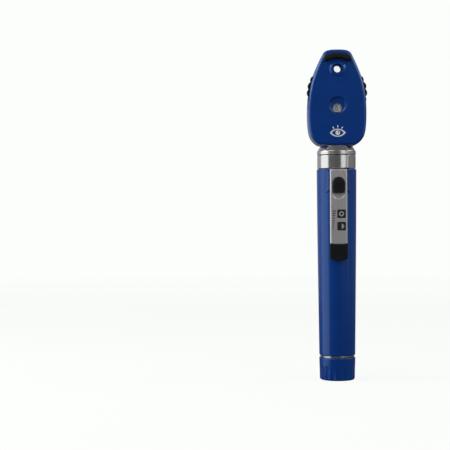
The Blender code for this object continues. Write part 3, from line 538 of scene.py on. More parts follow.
BRIGHT_STEEL = surface("spring_steel", ((0.5, 0.5, 0.5), (0.62, 0.62, 0.62)), (0.2, 0.32), 1.0, grain=900)
WHITE = surface("white_plastic", ((0.66, 0.65, 0.61), (0.74, 0.73, 0.69)), (0.4, 0.5), grain=4000)
DIAL = surface("dial_white", ((0.78, 0.78, 0.77), (0.86, 0.86, 0.85)), (0.4, 0.5), grain=5000)
PRINT_WHITE = surface("white_print", ((0.88, 0.9, 0.9), (0.94, 0.95, 0.95)), (0.45, 0.6), grain=6000)
PRINT_BLACK = surface("black_print", (BLACK, shade(BLACK, 1.6)), (0.45, 0.6), grain=6000)
PRINT_RED = surface("red_print", ((0.42, 0.02, 0.015), (0.5, 0.03, 0.02)), (0.45, 0.6), grain=6000)
JACKET = surface("cell_jacket", ((0.1, 0.105, 0.12), (0.13, 0.14, 0.155)), (0.3, 0.42), grain=2000)
CLEAR = glass("glass", (0.85, 0.93, 0.95), 0.06)
MAGNIFIER = glass("magnifier_glass", (0.5, 0.52, 0.53), 0.08)
MIRRORED = surface("mirror", ((0.86, 0.87, 0.88), (0.9, 0.9, 0.91)), (0.03, 0.06), 1.0, grain=1500, bump=0.02)


# Handle


def make_handle():
    """The tapered tube, with a fairing at its top that flanks the clip."""
    low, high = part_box("handle_tube")
    corners = [(HANDLE_BORE, high.z, 0), (high.x, high.z, 0.35 * MM)]
    corners += [(radius, height, TAPER_BLEND) for radius, height in HANDLE_TAPER]
    corners += [(HANDLE_FOOT_RADIUS, low.z, 0.8 * MM), (HANDLE_BORE, low.z, 0)]
    tube = turned(filleted(corners, steps=6), FINE_STEPS)
    above = 113 * MM  # clear of the tube's top
    depths, heights = (low.y, -5.0 * MM), (99.1 * MM, high.z - 0.2 * MM)
    fairing = upright_box(6.6 * MM, depths, heights, 3.0 * MM, lambda end: end.y < -6 * MM, 10)
    fairing = cut(fairing, drum(9.0 * MM, 95 * MM, 115 * MM, steps=FINE_STEPS))
    heights = (98 * MM, above)
    clip_bed = upright_box(4.9 * MM, mm(-14, -9.9), heights, 0.4 * MM, lambda end: end.y > -10 * MM)
    stem_slot = upright_box(1.8 * MM, mm(-12, -7.5), mm(98.8, 107.6))
    strip_groove = upright_box(1.3 * MM, mm(-8.95, -7.5), (102.7 * MM, above))
    tongue_slot = upright_box(3.3 * MM, mm(-10.5, -8.9), (110.6 * MM, above))
    handle = cut(join(tube, fairing), clip_bed, stem_slot, strip_groove, tongue_slot)
    piece("handle_shell", handle, LACQUER, "handle", ["handle_tube"])


def make_collar():
    low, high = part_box("handle_collar")
    bore = 7.1 * MM
    corners = [
        (bore, high.z, 0.1 * MM),
        (high.x, high.z, 0.1 * MM),
        (high.x, low.z, 0.3 * MM),
        (bore, low.z, 0.1 * MM),
    ]
    ring = turned(filleted(corners, closed=True), FINE_STEPS)
    piece("lower_collar", ring, CHROMED, "handle", ["handle_collar"])


def thread_rings(root, crest, bottom, top, steps):
    """Rings from the top down whose radius follows a screw thread, which runs out at both ends."""
    rows = round((top - bottom) / THREAD_PITCH * 8)
    rings = []
    for row in range(rows + 1):
        height = top + (bottom - top) * row / rows
        run_out = min(1.0, (height - bottom) / THREAD_PITCH, (top - height) / THREAD_PITCH)
        ring = []
        for index in range(steps):
            phase = (height / THREAD_PITCH - index / steps) % 1.0
            radius = root + (crest - root) * (1 - abs(2 * phase - 1)) * run_out
            angle = 2 * math.pi * index / steps
            ring.append((radius * math.cos(angle), radius * math.sin(angle), height))
        rings.append(ring)
    return rings


def make_threads():
    """The threaded neck that the head screws on, and the ring that the end cap screws on."""
    steps = 72
    low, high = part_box("neck_thread")
    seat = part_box("handle_tube")[1].z
    bore, step_radius, step_height = mm(5.6, 7.2, 111.5)
    rings = [level_ring(bore, high.z, steps)]
    rings += thread_rings(6.45 * MM, 6.9 * MM, seat, high.z, steps)
    flange = [(high.x, seat - 0.01 * MM), (high.x, low.z)]
    flange += [(step_radius, low.z), (step_radius, step_height), (bore, step_height)]
    rings += level_rings(flange, steps)
    piece("neck_screw", lofted(rings, closed=True), BRASS, "handle", ["neck_thread"])

    low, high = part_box("bottom_thread_ring")
    flange_top, flange_bottom, bevel = mm(12.7, 12.25, 0.1)
    bore, crest = mm(7.5, 8.1)
    plain = [(bore, high.z), (crest, high.z), (crest, flange_top)]
    plain += [(high.x - bevel, flange_top), (high.x, flange_top - bevel)]
    plain += [(high.x, flange_bottom + bevel), (high.x - bevel, flange_bottom)]
    rings = level_rings(plain, steps)
    rings += thread_rings(7.75 * MM, crest, low.z, flange_bottom, steps)
    rings += [level_ring(bore, low.z, steps)]
    piece("foot_screw", lofted(rings, closed=True), CHROMED, "handle", ["bottom_thread_ring"])


def make_end_cap():
    """The cap, whose flutes are deepest at the foot and fade out as they rise."""
    low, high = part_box("end_cap")
    points_per_flute = 14
    steps = FLUTE_COUNT * points_per_flute
    top_radius, top_edge = mm(9.58, 0.35)
    foot_radius, foot_edge = mm(9.31, 1.0)
    top, bottom = high.z - top_edge, low.z + foot_edge
    wall = arc((top_radius - top_edge, top), top_edge, 90, 0, 4)
    rows = 26
    for row in range(1, rows):
        part = row / rows
        wall.append((top_radius + (foot_radius - top_radius) * part, top + (bottom - top) * part))
    wall += arc((foot_radius - foot_edge, bottom), foot_edge, 0, -90, 8)
    base_radius, base_blend = mm(8.3, 0.8)  # the flutes run out between these on the base's edge
    rings = []
    for radius, height in wall:
        fade = max(0.0, min(1.0, (FLUTE_TOP - height) / (FLUTE_TOP - FLUTE_BOTTOM)))
        foot = max(0.0, min(1.0, (radius - base_radius) / base_blend))
        depth = FLUTE_DEPTH * fade**0.7 * foot
        ring = []
        for index in range(steps):
            phase = (index / points_per_flute) % 1.0
            fluted = radius - depth * max(0.0, math.sin(math.pi * phase)) ** 1.5
            angle = 2 * math.pi * index / steps
            ring.append((fluted * math.cos(angle), fluted * math.sin(angle), height))
        rings.append(ring)
    rings.append([(0, 0, low.z)])
    floor, bore, corner = mm(2.2, 8.4, 0.4)
    inner = ((0, floor), (bore - corner, floor), (bore, floor + corner), (bore, high.z))
    cap = lofted(level_rings(inner, steps) + rings)
    piece("end_cap_shell", cap, LACQUER, "end_cap", ["end_cap"])


# Clip and switch


def make_clip():
    """A pressed channel with its edges turned back and a pan sunk in it for the slider."""
    low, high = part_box("pocket_clip")
    sheet, slack = mm(0.6, 1)
    front, back, behind = low.y, -10.3 * MM, -9 * MM
    bottom = 72.7 * MM
    made_bottom = bottom - 1.5 * MM  # its rounded end is made lower, and cut off square
    body = box(
        (low.x, front, made_bottom),
        (high.x, back, high.z),
        0.75 * MM,
        lambda end: end.y < front + 0.1 * MM,
        8,
    )
    end_low = (low.x - slack, front - slack, made_bottom - slack)
    body = cut(body, box(end_low, (high.x + slack, behind, bottom)))
    channel = box(
        (low.x + sheet, front + sheet, bottom - slack),
        (high.x - sheet, behind, high.z - sheet),
        0.3 * MM,
        lambda end: end.y < front + sheet + 0.1 * MM,
    )
    pan_bottom, pan_top, pan_half, pan_floor = mm(95.9, 107.5, 3.3, -11.0)
    outline = stadium(pan_half, pan_bottom, pan_top)
    wall = slab(drawn_in(outline, -0.4 * MM), pan_floor + 0.4 * MM, front + 0.3 * MM, 0.0, 0.3 * MM)
    mouth = []
    for inset, depth in ((-0.16, 0.6), (-0.16, -0.01), (-0.05, -0.06), (0.0, -0.18), (0.0, -0.4)):
        mouth.append([(x, front - depth * MM, z) for x, z in drawn_in(outline, inset * MM)])
    for inset, rise in ((0.0, 0.3), (0.09, 0.09), (0.3, 0.0)):
        mouth.append([(x, pan_floor - rise * MM, z) for x, z in drawn_in(outline, inset * MM)])
    tongue_half = 3.0 * MM
    hook = upright_box(tongue_half, (-11.5 * MM, high.y), (high.z - sheet, high.z - 0.05 * MM))
    tongue = upright_box(tongue_half, (front + 0.1 * MM, front + 0.5 * MM), (low.z, bottom + slack))
    stem_slot = upright_box(0.9 * MM, mm(-12, -10), mm(99.7, 106.7))
    clip = join(cut(body, channel), wall, hook, tongue)
    clip = cut(clip, lofted(mouth), stem_slot)
    piece("clip_blade", clip, PRESSED, "clip", ["pocket_clip"])


def make_clip_tip():
    """The rubber shoe on the clip's end: a bowed lower edge and fine level ribs."""
    low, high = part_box("clip_tip")
    sag = 1.1 * MM
    radius = (high.x**2 + sag**2) / (2 * sag)
    sweep = math.degrees(math.asin(high.x / radius))
    lower = arc((0, low.z + radius), radius, -90 - sweep, -90 + sweep, 16)
    corners = [(x, z, 0) for x, z in lower[1:-1]]
    corners = [(*lower[0], 0.6 * MM), *corners, (*lower[-1], 0.6 * MM)]
    corners += [(high.x, high.z, 0), (low.x, high.z, 0)]
    tip = slab(filleted(corners, closed=True), high.y, low.y, 0.45 * MM, 0.1 * MM)
    heights = [low.z + 1.6 * MM + 0.95 * MM * index for index in range(8)]
    grooves = level_grooves(0.24 * MM, 3.9 * MM, 0.1 * MM, low.y - 0.06 * MM, heights)
    pocket = upright_box(3.3 * MM, mm(-12.2, -11.2), mm(65.7, 74))
    tip = cut(tip, grooves, pocket)
    piece("clip_shoe", tip, SOFT, "clip", ["clip_tip"])


def make_slider():
    """The thumb button: a round top, a narrower foot and grip grooves, on a stem that works the switch."""
    low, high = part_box("switch_slider")
    half, foot_half = mm(3.05, 2.55)
    waist = low.z + 1.3 * MM
    top_arc = [(x, z, 0) for x, z in arc((0, high.z - half), half, 0, 180, 24)]
    corners = [
        (-half, waist, 0.8 * MM),
        (-foot_half, low.z, 0.4 * MM),
        (foot_half, low.z, 0.4 * MM),
        (half, waist, 0.8 * MM),
        *top_arc,
    ]
    slider = slab(filleted(corners, closed=True), -12.25 * MM, low.y, 0.3 * MM, 0.1 * MM)
    heights = [low.z + (1.5 + 0.75 * index) * MM for index in range(5)]
    grooves = level_grooves(0.2 * MM, 2.2 * MM, 0.08 * MM, low.y - 0.08 * MM, heights)
    keel = upright_box(2.0 * MM, mm(-12.5, -11.3), mm(101, 106.8))
    stem = upright_box(0.6 * MM, (-11.5 * MM, high.y), mm(103, 106.4))
    slider = join(cut(slider, grooves), keel, stem)
    piece("slider_button", slider, PLASTIC, "switch", ["switch_slider"])


def printed(outlines, depth):
    """A thin print on an upright face: closed (x, z) outlines, where one inside another is a hole."""
    curve = bpy.data.curves.new("print", "CURVE")
    curve.dimensions = "2D"
    curve.fill_mode = "BOTH"
    curve.extrude = SKIN / 2
    for outline in outlines:
        spline = curve.splines.new("POLY")
        spline.points.add(len(outline) - 1)
        for point, (x, z) in zip(spline.points, outline, strict=True):
            point.co = (x, z, 0, 1)
        spline.use_cyclic_u = True
    return moved(curve_shape(curve), Matrix.Translation((0, depth, 0)) @ Matrix.Rotation(math.pi / 2, 4, "X"))


def curve_shape(curve):
    """The closed skin of a filled curve or a line of text."""
    guide = in_scene("guide", curve)
    bpy.context.view_layer.update()
    mesh = bpy.data.meshes.new_from_object(guide.evaluated_get(bpy.context.evaluated_depsgraph_get()))
    bpy.data.objects.remove(guide)
    bpy.data.curves.remove(curve)
    shape = bmesh.new()
    shape.from_mesh(mesh)
    bpy.data.meshes.remove(mesh)
    bmesh.ops.remove_doubles(shape, verts=shape.verts, dist=0.001 * MM)
    bmesh.ops.recalc_face_normals(shape, faces=shape.faces)
    return shape


def make_clip_marks():
    """Plain signs for a full and a half beam, and a rising scale of brightness beside them."""
    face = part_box("pocket_clip")[0].y - SKIN / 2
    side, left = mm(4.5, -0.85)
    half_beam, full_beam = mm(79.4, 85.9)  # heights of the two signs
    beam_radius, hole_radius = mm(1.35, 0.65)
    outlines = []
    for bottom in (half_beam, full_beam):
        outlines.append(rounded_rectangle((left, bottom), (left + side, bottom + side), 0.5 * MM))
    centre = left + side / 2
    outlines.append(circle((centre, full_beam + side / 2), beam_radius, 32))
    outlines.append(circle((centre, full_beam + side / 2), hole_radius, 24))
    outlines.append(arc((centre, half_beam + side / 2), beam_radius, -90, 90, 20))
    bars, bar_left, bar_bottom, bar_pitch, bar_height = 9, -3.4 * MM, 79.5 * MM, 1.23 * MM, 0.5 * MM
    for index in range(bars):
        bottom = bar_bottom + bar_pitch * index
        right = bar_left + (0.5 + 1.3 * index / (bars - 1)) * MM
        outlines.append(rounded_rectangle((bar_left, bottom), (right, bottom + bar_height), 0.1 * MM, 2))
    piece("clip_marks", printed(outlines, face), PRINT_BLACK, "clip")


# Head casing


def make_head_collar():
    low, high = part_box("head_collar")
    ring_top, shoulder, flange = mm(124.15, 121.4, 123.3)
    corners = [
        (8.6 * MM, ring_top, 0.2 * MM),
        (high.x, shoulder, 0.3 * MM),
        (high.x, low.z, 0.3 * MM),
        (7.2 * MM, low.z, 0.1 * MM),
        (7.2 * MM, flange, 0.1 * MM),
        (5.0 * MM, flange, 0.1 * MM),
        (5.0 * MM, high.z, 0.1 * MM),
        (6.0 * MM, high.z, 0.2 * MM),
        (6.0 * MM, ring_top, 0.1 * MM),
    ]
    ring = turned(filleted(corners, closed=True), FINE_STEPS)
    piece("upper_collar", ring, SATIN_CHROME, "head", ["head_collar"])


def casing(outline, seam, face, fillet):
    """Half of the head's casing, from the seam to its face, with rings close enough to cut cleanly."""
    forward = 1 if face > seam else -1
    seam_edge = 0.12 * MM
    levels = [(seam_edge, seam), (0.0, seam + forward * seam_edge)]
    straight = abs(face - seam) - fillet - seam_edge
    rows = 7
    levels += [(0.0, seam + forward * (seam_edge + straight * row / rows)) for row in range(1, rows)]
    for step in range(11):
        angle = math.pi / 2 * step / 10
        levels.append((fillet * (1 - math.cos(angle)), face - forward * fillet * (1 - math.sin(angle))))
    return lofted([[(x, depth, z) for x, z in drawn_in(outline, inset)] for inset, depth in levels])


def readout_scoop(floor, lens_height, lens_radius):
    """A funnel with a soft rim, from the round readout recess down to the lens, which sits low in it."""
    mouth_radius, floor_radius = 4.85 * MM, lens_radius + 0.3 * MM
    # How far in, and how far down, from the mouth to the floor
    stations = [(0.0, -1.0), (0.0, -0.001), (0.04, 0.04), (0.08, 0.14), (0.13, 0.35)]
    stations += [(0.2, 0.6), (0.32, 0.8), (0.55, 0.92), (1.0, 1.0)]
    rings = []
    for way_in, way_down in stations:
        radius = mouth_radius - (mouth_radius - floor_radius) * way_in
        height = READOUT_HEIGHT + (lens_height - READOUT_HEIGHT) * way_in
        depth = HEAD_FACE + (floor - HEAD_FACE) * way_down
        rings.append([(x, depth, z) for x, z in circle((0, height), radius, 64)])
    return lofted(rings)


def at_posts(radius, low, high):
    """A round bar at each of the two posts that the casing's screws go through."""
    return [facing_front(drum(radius, low, high), side * POST_X, POST_HEIGHT) for side in (-1, 1)]


def make_front_shell():
    low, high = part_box("head_front_shell")
    outline = head_outline()
    shell = casing(outline, high.y, HEAD_FACE, FRONT_FILLET)
    boss_radius, boss_foot = 4.6 * MM, -HEAD_FACE - 0.6 * MM
    boss = [
        (0, -low.y, 0),
        (3.3 * MM, -low.y, 0.3 * MM),
        (boss_radius, -HEAD_FACE - 0.2 * MM, 0),
        (boss_radius, boss_foot, 0),
        (0, boss_foot, 0),
    ]
    shell = join(shell, facing_front(turned(filleted(boss), 64), 0, VIEW_HEIGHT))
    cavity = slab(drawn_in(outline, HEAD_WALL), 1 * MM, HEAD_FACE + HEAD_WALL)
    pad = facing_front(drum(3.9 * MM, 5.8 * MM, 7 * MM), 0, READOUT_HEIGHT)
    axle_boss = facing_front(drum(2.6 * MM, 5.8 * MM, 7 * MM), 0, WHEEL_HEIGHT)
    cavity = cut(cavity, pad, axle_boss, *at_posts(2.0 * MM, 0.35 * MM, 7 * MM))
    flare = VIEW_HOLE_RADIUS + 0.5 * MM
    hole = [
        (0, 9.2 * MM, 0),
        (VIEW_HOLE_RADIUS + 1.1 * MM, 9.2 * MM, 0),
        (VIEW_HOLE_RADIUS + 0.7 * MM, 8.5 * MM, 0.3 * MM),
        (VIEW_HOLE_RADIUS, 7.0 * MM, 0.1 * MM),
        (flare, 6.4 * MM, 0),
        (flare, 5 * MM, 0),
        (0, 5 * MM, 0),
    ]
    view_hole = facing_front(turned(filleted(hole), 64), 0, VIEW_HEIGHT)
    lens_height, lens_radius = middle_height("readout_lens"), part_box("readout_lens")[1].x
    scoop = readout_scoop(-6.5 * MM, lens_height, lens_radius)
    lens_seat = facing_front(drum(lens_radius + 0.15 * MM, 5 * MM, 7.5 * MM, steps=48), 0, lens_height)
    axle_bore = facing_front(drum(1.25 * MM, 3 * MM, 7.1 * MM), 0, WHEEL_HEIGHT)
    wheel_low, wheel_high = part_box("lens_wheel")
    wheel_gap, windows_half = mm(0.35, 18)
    windows = upright_box(
        windows_half,
        (wheel_low.y - wheel_gap, wheel_high.y + wheel_gap),
        (WHEEL_HEIGHT - 8.8 * MM, WHEEL_HEIGHT + 13.4 * MM),
        0.5 * MM,
        segments=3,
    )
    neck_hole = drum(*NECK_HOLE, steps=64)
    post_holes = at_posts(1.1 * MM, -1 * MM, 5.5 * MM)
    shell = cut(shell, cavity, view_hole, scoop, lens_seat, axle_bore, windows, neck_hole, *post_holes)
    piece("casing_front", shell, LACQUER, "head", ["head_front_shell"])


def make_rear_shell():
    low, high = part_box("head_rear_shell")
    outline = head_outline()
    shell = casing(outline, low.y, high.y, BACK_FILLET)
    cavity = slab(drawn_in(outline, HEAD_WALL), high.y - HEAD_WALL, -1 * MM)
    ribs = [upright_box(4.0 * MM, (front, 7.2 * MM), (bottom, top)) for bottom, top, front in CRADLES]
    pillar = facing_front(drum(1.4 * MM, -7 * MM, -0.95 * MM), 11.4 * MM, WHEEL_HEIGHT)
    cavity = cut(cavity, pillar, *ribs, *at_posts(2.6 * MM, -7 * MM, -0.35 * MM))
    glass_low, glass_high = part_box("rear_window")
    corner, outside = mm(0.8, 9)
    reveal_x, reveal_z, ledge = mm(0.5, 0.6, 0.3)
    opening_low = (glass_low.x + reveal_x, glass_low.z + reveal_z)
    opening_high = (glass_high.x - reveal_x, glass_high.z - reveal_z)
    opening = rounded_rectangle(opening_low, opening_high, corner)
    seat_low = (glass_low.x - ledge, glass_low.z - ledge)
    seat = rounded_rectangle(seat_low, (glass_high.x + ledge, glass_high.z + ledge), 1.0 * MM)
    window_cuts = [slab(opening, outside, 5 * MM), slab(seat, outside, 7.0 * MM)]
    rim_slot = upright_box(6.3 * MM, (5.5 * MM, outside), mm(132.0, 134.0))
    axle_low, axle_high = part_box("aperture_axle")
    axle_place = Matrix.Translation((0, (axle_low.y + axle_high.y) / 2, 0))
    pin_hole = moved(drum(0.95 * MM, 129 * MM, 137 * MM), axle_place)
    neck_hole = drum(*NECK_HOLE, steps=64)
    sunk_radius, sunk_floor, rim = mm(2.1, -5.9, -7.8)
    sunk = [
        (0, sunk_floor, 0),
        (sunk_radius, sunk_floor, 0),
        (sunk_radius, rim, 0),
        (2.45 * MM, -outside, 0),
        (0, -outside, 0),
    ]
    holes = []
    for side in (-1, 1):
        holes.append(facing_front(turned(filleted(sunk), 48), side * POST_X, POST_HEIGHT))
        holes.append(facing_front(drum(1.3 * MM, -7 * MM, 1 * MM), side * POST_X, POST_HEIGHT))
    shell = cut(shell, cavity, *window_cuts, rim_slot, pin_hole, neck_hole, *holes)
    piece("casing_rear", shell, LACQUER, "head", ["head_rear_shell"])
    pane = rounded_rectangle((glass_low.x, glass_low.z), (glass_high.x, glass_high.z), corner)
    pane = slab(pane, glass_high.y, glass_low.y, 0.08 * MM, 0.08 * MM, 2)
    piece("rear_pane", pane, CLEAR, "head", ["rear_window"])


def make_head_screws():
    """Two screws with crossed slots, seen from the rear."""
    for side in ("left", "right"):
        node = "head_screw_" + side
        low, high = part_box(node)
        x = (low.x + high.x) / 2
        head_radius = (high.x - low.x) / 2
        shank_radius, head_bottom = mm(0.9, -6.2)
        corners = [
            (0, -low.y, 0),
            (shank_radius, -low.y, 0.2 * MM),
            (shank_radius, head_bottom, 0.1 * MM),
            (head_radius, head_bottom, 0.1 * MM),
            (head_radius, -high.y + 0.3 * MM, 0.3 * MM),
            (1.2 * MM, -high.y, 0.4 * MM),
            (0, -high.y, 0),
        ]
        screw = facing_front(turned(filleted(corners), 48), x, POST_HEIGHT)
        long, narrow = mm(1.1, 0.22)
        arms = []
        for half_x, half_z in ((long, narrow), (narrow, long)):
            arm_low = (x - half_x, 7.0 * MM, POST_HEIGHT - half_z)
            arms.append(box(arm_low, (x + half_x, 8.5 * MM, POST_HEIGHT + half_z)))
        piece("screw_" + side, cut(screw, *arms), BRIGHT_STEEL, "head", [node])


def make_brow_rest():
    """The soft crescent above the viewing hole that rests on the examiner's brow."""
    low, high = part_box("brow_rest")
    radius = 12.7 * MM
    width = 3.05 * MM
    middle_height = 171.45 * MM
    sweep = 26.6
    path = arc((0, middle_height - radius), radius, 90 + sweep, 90 - sweep, 32)
    edge = band(path, width)
    outer, inner = edge[: len(path)], edge[len(path) :]
    end_right = arc(path[-1], width / 2, 90 - sweep, -90 - sweep, 14)[1:-1]
    end_left = arc(path[0], width / 2, -90 + sweep, -270 + sweep, 14)[1:-1]
    outline = [*outer, *end_right, *inner, *end_left][::-1]
    rest = slab(outline, high.y, low.y, 1.1 * MM, 0.1 * MM, 8)
    piece("brow_pad", rest, SOFT, "head", ["brow_rest"])


def almond(middle, half_width, lid):
    """The outline of an eye: two arcs that meet in a point at each side."""
    radius = (half_width**2 + lid**2) / (2 * lid)
    sweep = math.degrees(math.asin(half_width / radius))
    upper = arc((0, middle + lid - radius), radius, 90 - sweep, 90 + sweep, 24)
    lower = arc((0, middle - lid + radius), radius, 270 - sweep, 270 + sweep, 24)
    return upper + lower[1:-1]


def make_eye_mark():
    """A plain eye with three rays, printed under the readout."""
    middle, half_width, lid, line = mm(130.9, 4.2, 2.1, 0.5)
    outlines = [
        almond(middle, half_width, lid),
        almond(middle, half_width - 2.1 * line, lid - line),
        circle((0, middle), 1.25 * MM, 40),
        circle((0.35 * MM, middle + 0.35 * MM), 0.38 * MM, 20),
    ]
    ray_centre = Vector((0, middle - 1.1 * MM))
    for lean in (-32, 0, 32):
        angle = math.radians(90 - lean)
        outward = Vector((math.cos(angle), math.sin(angle)))
        start = ray_centre + outward * 3.9 * MM
        outlines.append(band([tuple(start), tuple(start + outward * 1.1 * MM)], line))
    piece("eye_mark", printed(outlines, HEAD_FACE - SKIN / 2), PRINT_WHITE, "head")


# Lens wheel


def lens_place(index):
    """Centre (x, z) of a lens position, counted clockwise from the top as the examiner sees it."""
    reach = VIEW_HEIGHT - WHEEL_HEIGHT
    angle = 2 * math.pi * index / LENS_POSITIONS
    return reach * math.sin(angle), WHEEL_HEIGHT + reach * math.cos(angle)


def make_lens_wheel():
    """The lobed wheel with its lens holes, the dial let into its front, and the lenses."""
    low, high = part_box("lens_wheel")
    outer = (high.z - low.z) / 2
    outline = []
    count = WHEEL_LOBES * 16
    for index in range(count):
        angle = 2 * math.pi * index / count
        lobe = abs(math.cos(angle * WHEEL_LOBES / 2)) ** 0.8
        radius = outer - WHEEL_NOTCH * (1 - lobe)
        outline.append((radius * math.sin(-angle), WHEEL_HEIGHT + radius * math.cos(angle)))
    wheel = slab(outline, high.y, low.y, 0.3 * MM, 0.3 * MM, 4)
    behind, before = mm(3, 6)  # clear of the wheel's two faces
    dial_low, dial_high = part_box("dial_disc")
    holes = []
    for index in range(LENS_POSITIONS):
        radius = LENS_HOLE_RADIUS if index else OPEN_HOLE_RADIUS
        holes.append(facing_front(drum(radius, behind, before), *lens_place(index)))
    holes.append(facing_front(drum(1.3 * MM, behind, 4.65 * MM), 0, WHEEL_HEIGHT))
    recess = drum(dial_high.x + 0.2 * MM, 4.7 * MM, before, steps=FINE_STEPS)
    wheel = cut(wheel, gathered(holes), facing_front(recess, 0, WHEEL_HEIGHT))
    piece("wheel_disc", wheel, PLASTIC, "lens_wheel", ["lens_wheel"])
    plate = hoop(dial_high.x, 2.0 * MM, -dial_high.y, -dial_low.y, 0.05 * MM, FINE_STEPS)
    plate = facing_front(plate, 0, WHEEL_HEIGHT)
    piece("dial_plate", plate, DIAL, "lens_wheel", ["dial_disc"])
    for index in range(1, LENS_POSITIONS):
        make_corrective_lens(index)


def make_corrective_lens(index):
    """A small lens, domed on both sides in two cones."""
    node = f"corrective_lens_{index:02d}"
    low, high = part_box(node)
    rim = 0.15 * MM
    profile = [
        (0, -low.y),
        (0.84 * MM, -low.y - 0.3 * rim),
        (LENS_RADIUS, -low.y - rim),
        (LENS_RADIUS, -high.y + rim),
        (0.84 * MM, -high.y + 0.3 * rim),
        (0, -high.y),
    ]
    lens = facing_front(turned(profile, 32), *lens_place(index))
    piece(f"lens_{index:02d}", lens, CLEAR, "lens_wheel", [node])


def numeral(number, x, z, lean, depth):
    """A printed number, upright when its place is at the bottom of the dial. Two digits are narrower."""
    curve = bpy.data.curves.new("number", "FONT")
    curve.body = str(number)
    curve.size = NUMERAL_SIZE
    curve.offset = 0.05 * MM
    curve.align_x = "CENTER"
    curve.align_y = "CENTER"
    curve.extrude = SKIN / 2
    curve.resolution_u = 4
    narrow = Matrix.Diagonal((0.7 if number < 10 else 0.42, 1, 1, 1))
    upright = Matrix.Rotation(lean, 4, "Y") @ Matrix.Rotation(math.pi / 2, 4, "X")
    return moved(curve_shape(curve), Matrix.Translation((x, depth, z)) @ upright @ narrow)


def make_dial_numbers():
    """Black numbers for plus powers and red for minus, each under the readout when its lens is in use."""
    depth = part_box("dial_disc")[0].y - SKIN / 2
    black, red = [], []
    powers = [(black, 0)]
    powers += [(red, power) for power in NEGATIVE_POWERS]
    powers += [(black, power) for power in POSITIVE_POWERS]
    for index, (group, power) in enumerate(powers):
        angle = 2 * math.pi * index / LENS_POSITIONS + math.radians(NUMERAL_LEAD)
        x, z = -NUMERAL_REACH * math.sin(angle), WHEEL_HEIGHT - NUMERAL_REACH * math.cos(angle)
        group.append(numeral(power, x, z, angle, depth))
    piece("dial_numbers_black", gathered(black), PRINT_BLACK, "lens_wheel")
    piece("dial_numbers_red", gathered(red), PRINT_RED, "lens_wheel")


def make_readout_lens():
    """The magnifier: a dome over a shallower back."""
    low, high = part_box("readout_lens")
    rim = 0.25 * MM
    profile = [(high.x * c, -low.y - rim + rim * s) for c, s in arc((0, 0), 1, 90, 0, 8)]
    profile[0] = (0, -low.y)
    profile += [(high.x, -high.y + rim), (high.x * 0.6, -high.y + 0.3 * rim), (0, -high.y)]
    lens = facing_front(turned(profile, 64), 0, (low.z + high.z) / 2)
    piece("readout_magnifier", lens, MAGNIFIER, "head", ["readout_lens"])


def make_aperture_wheel():
    """A level wheel with a fine edge to turn it by and five openings of different sizes."""
    low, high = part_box("aperture_wheel")
    axle_low, axle_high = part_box("aperture_axle")
    centre_y = (axle_low.y + axle_high.y) / 2
    outer = (high.x - low.x) / 2
    teeth, tooth_depth, points_per_tooth = 24, 0.3 * MM, 10
    outline = []
    for index in range(teeth * points_per_tooth):
        angle = 2 * math.pi * index / (teeth * points_per_tooth)
        radius = outer - tooth_depth * (1 - abs(math.cos(angle * teeth / 2)))
        outline.append((radius * math.cos(angle), radius * math.sin(angle)))
    wheel = slab(outline, high.z, low.z, 0.12 * MM, 0.12 * MM, 3)
    wheel = moved(wheel, Matrix.Rotation(-math.pi / 2, 4, "X"))
    wheel = moved(wheel, Matrix.Diagonal((1, 1, -1, 1)))
    bmesh.ops.recalc_face_normals(wheel, faces=wheel.faces)
    bottom, top = low.z - 1 * MM, high.z + 1 * MM
    holes = []
    for index, radius in enumerate(APERTURE_RADII):
        angle = -math.pi / 2 + 2 * math.pi * index / len(APERTURE_RADII)
        at = (centre_y * math.cos(angle), centre_y * math.sin(angle), 0)
        holes.append(moved(drum(radius, bottom, top), Matrix.Translation(at)))
    holes.append(drum(0.85 * MM, bottom, top))
    wheel = moved(cut(wheel, gathered(holes)), Matrix.Translation((0, centre_y, 0)))
    piece("stop_wheel", wheel, PLASTIC, "aperture_wheel", ["aperture_wheel"])


# Pieces inside, which keep their CAD shape


def finish_inner_nodes():
    finishes = {
        ANODISED: ("condenser_tube", "objective_tube", "mirror_bracket"),
        BRASS: ("terminal_strip", "contact_pin", "switch_contact", "lamp_base"),
        BRIGHT_STEEL: ("cap_spring", "lens_wheel_axle", "detent_spring", "detent_ball", "aperture_axle"),
        CLEAR: ("lamp_bulb", "condenser_lens", "objective_lens"),
        JACKET: ("battery_lower", "battery_upper"),
        MIRRORED: ("mirror",),
        NICKEL: ("battery_sleeve", "cap_contact"),
        WHITE: ("contact_insulator", "lamp_socket"),
    }
    for material, nodes in finishes.items():
        for node in nodes:
            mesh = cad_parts[node].data
            mesh.materials.clear()
            mesh.materials.append(material)


# Stage


def make_floor():
    """A pale floor that meets the background without an edge, and gives no light or reflection back."""
    shape = bmesh.new()
    bmesh.ops.create_circle(shape, cap_ends=True, segments=64, radius=FLOOR_RADIUS)
    floor = in_scene("floor", as_mesh("floor", shape))
    material, nodes, links = new_material("floor")
    shader = nodes["Principled BSDF"]
    shader.inputs["Specular IOR Level"].default_value = 0.0
    shader.inputs["Roughness"].default_value = 0.9
    shader.inputs["Emission Color"].default_value = (*BACKGROUND, 1)
    shader.inputs["Base Color"].default_value = (0.12, 0.12, 0.12, 1)
    place = nodes.new("ShaderNodeTexCoord")
    distance = nodes.new("ShaderNodeVectorMath")
    distance.operation = "LENGTH"
    links.new(place.outputs["Object"], distance.inputs[0])
    glow = ranged(material, distance.outputs["Value"], FLOOR_GLOW, FLOOR_GLOW_FAR, 0.3, 1.5)
    glow.node.interpolation_type = "SMOOTHSTEP"
    links.new(glow, shader.inputs["Emission Strength"])
    floor.data.materials.append(material)
    floor.visible_diffuse = False
    floor.visible_glossy = False
    floor.visible_shadow = False


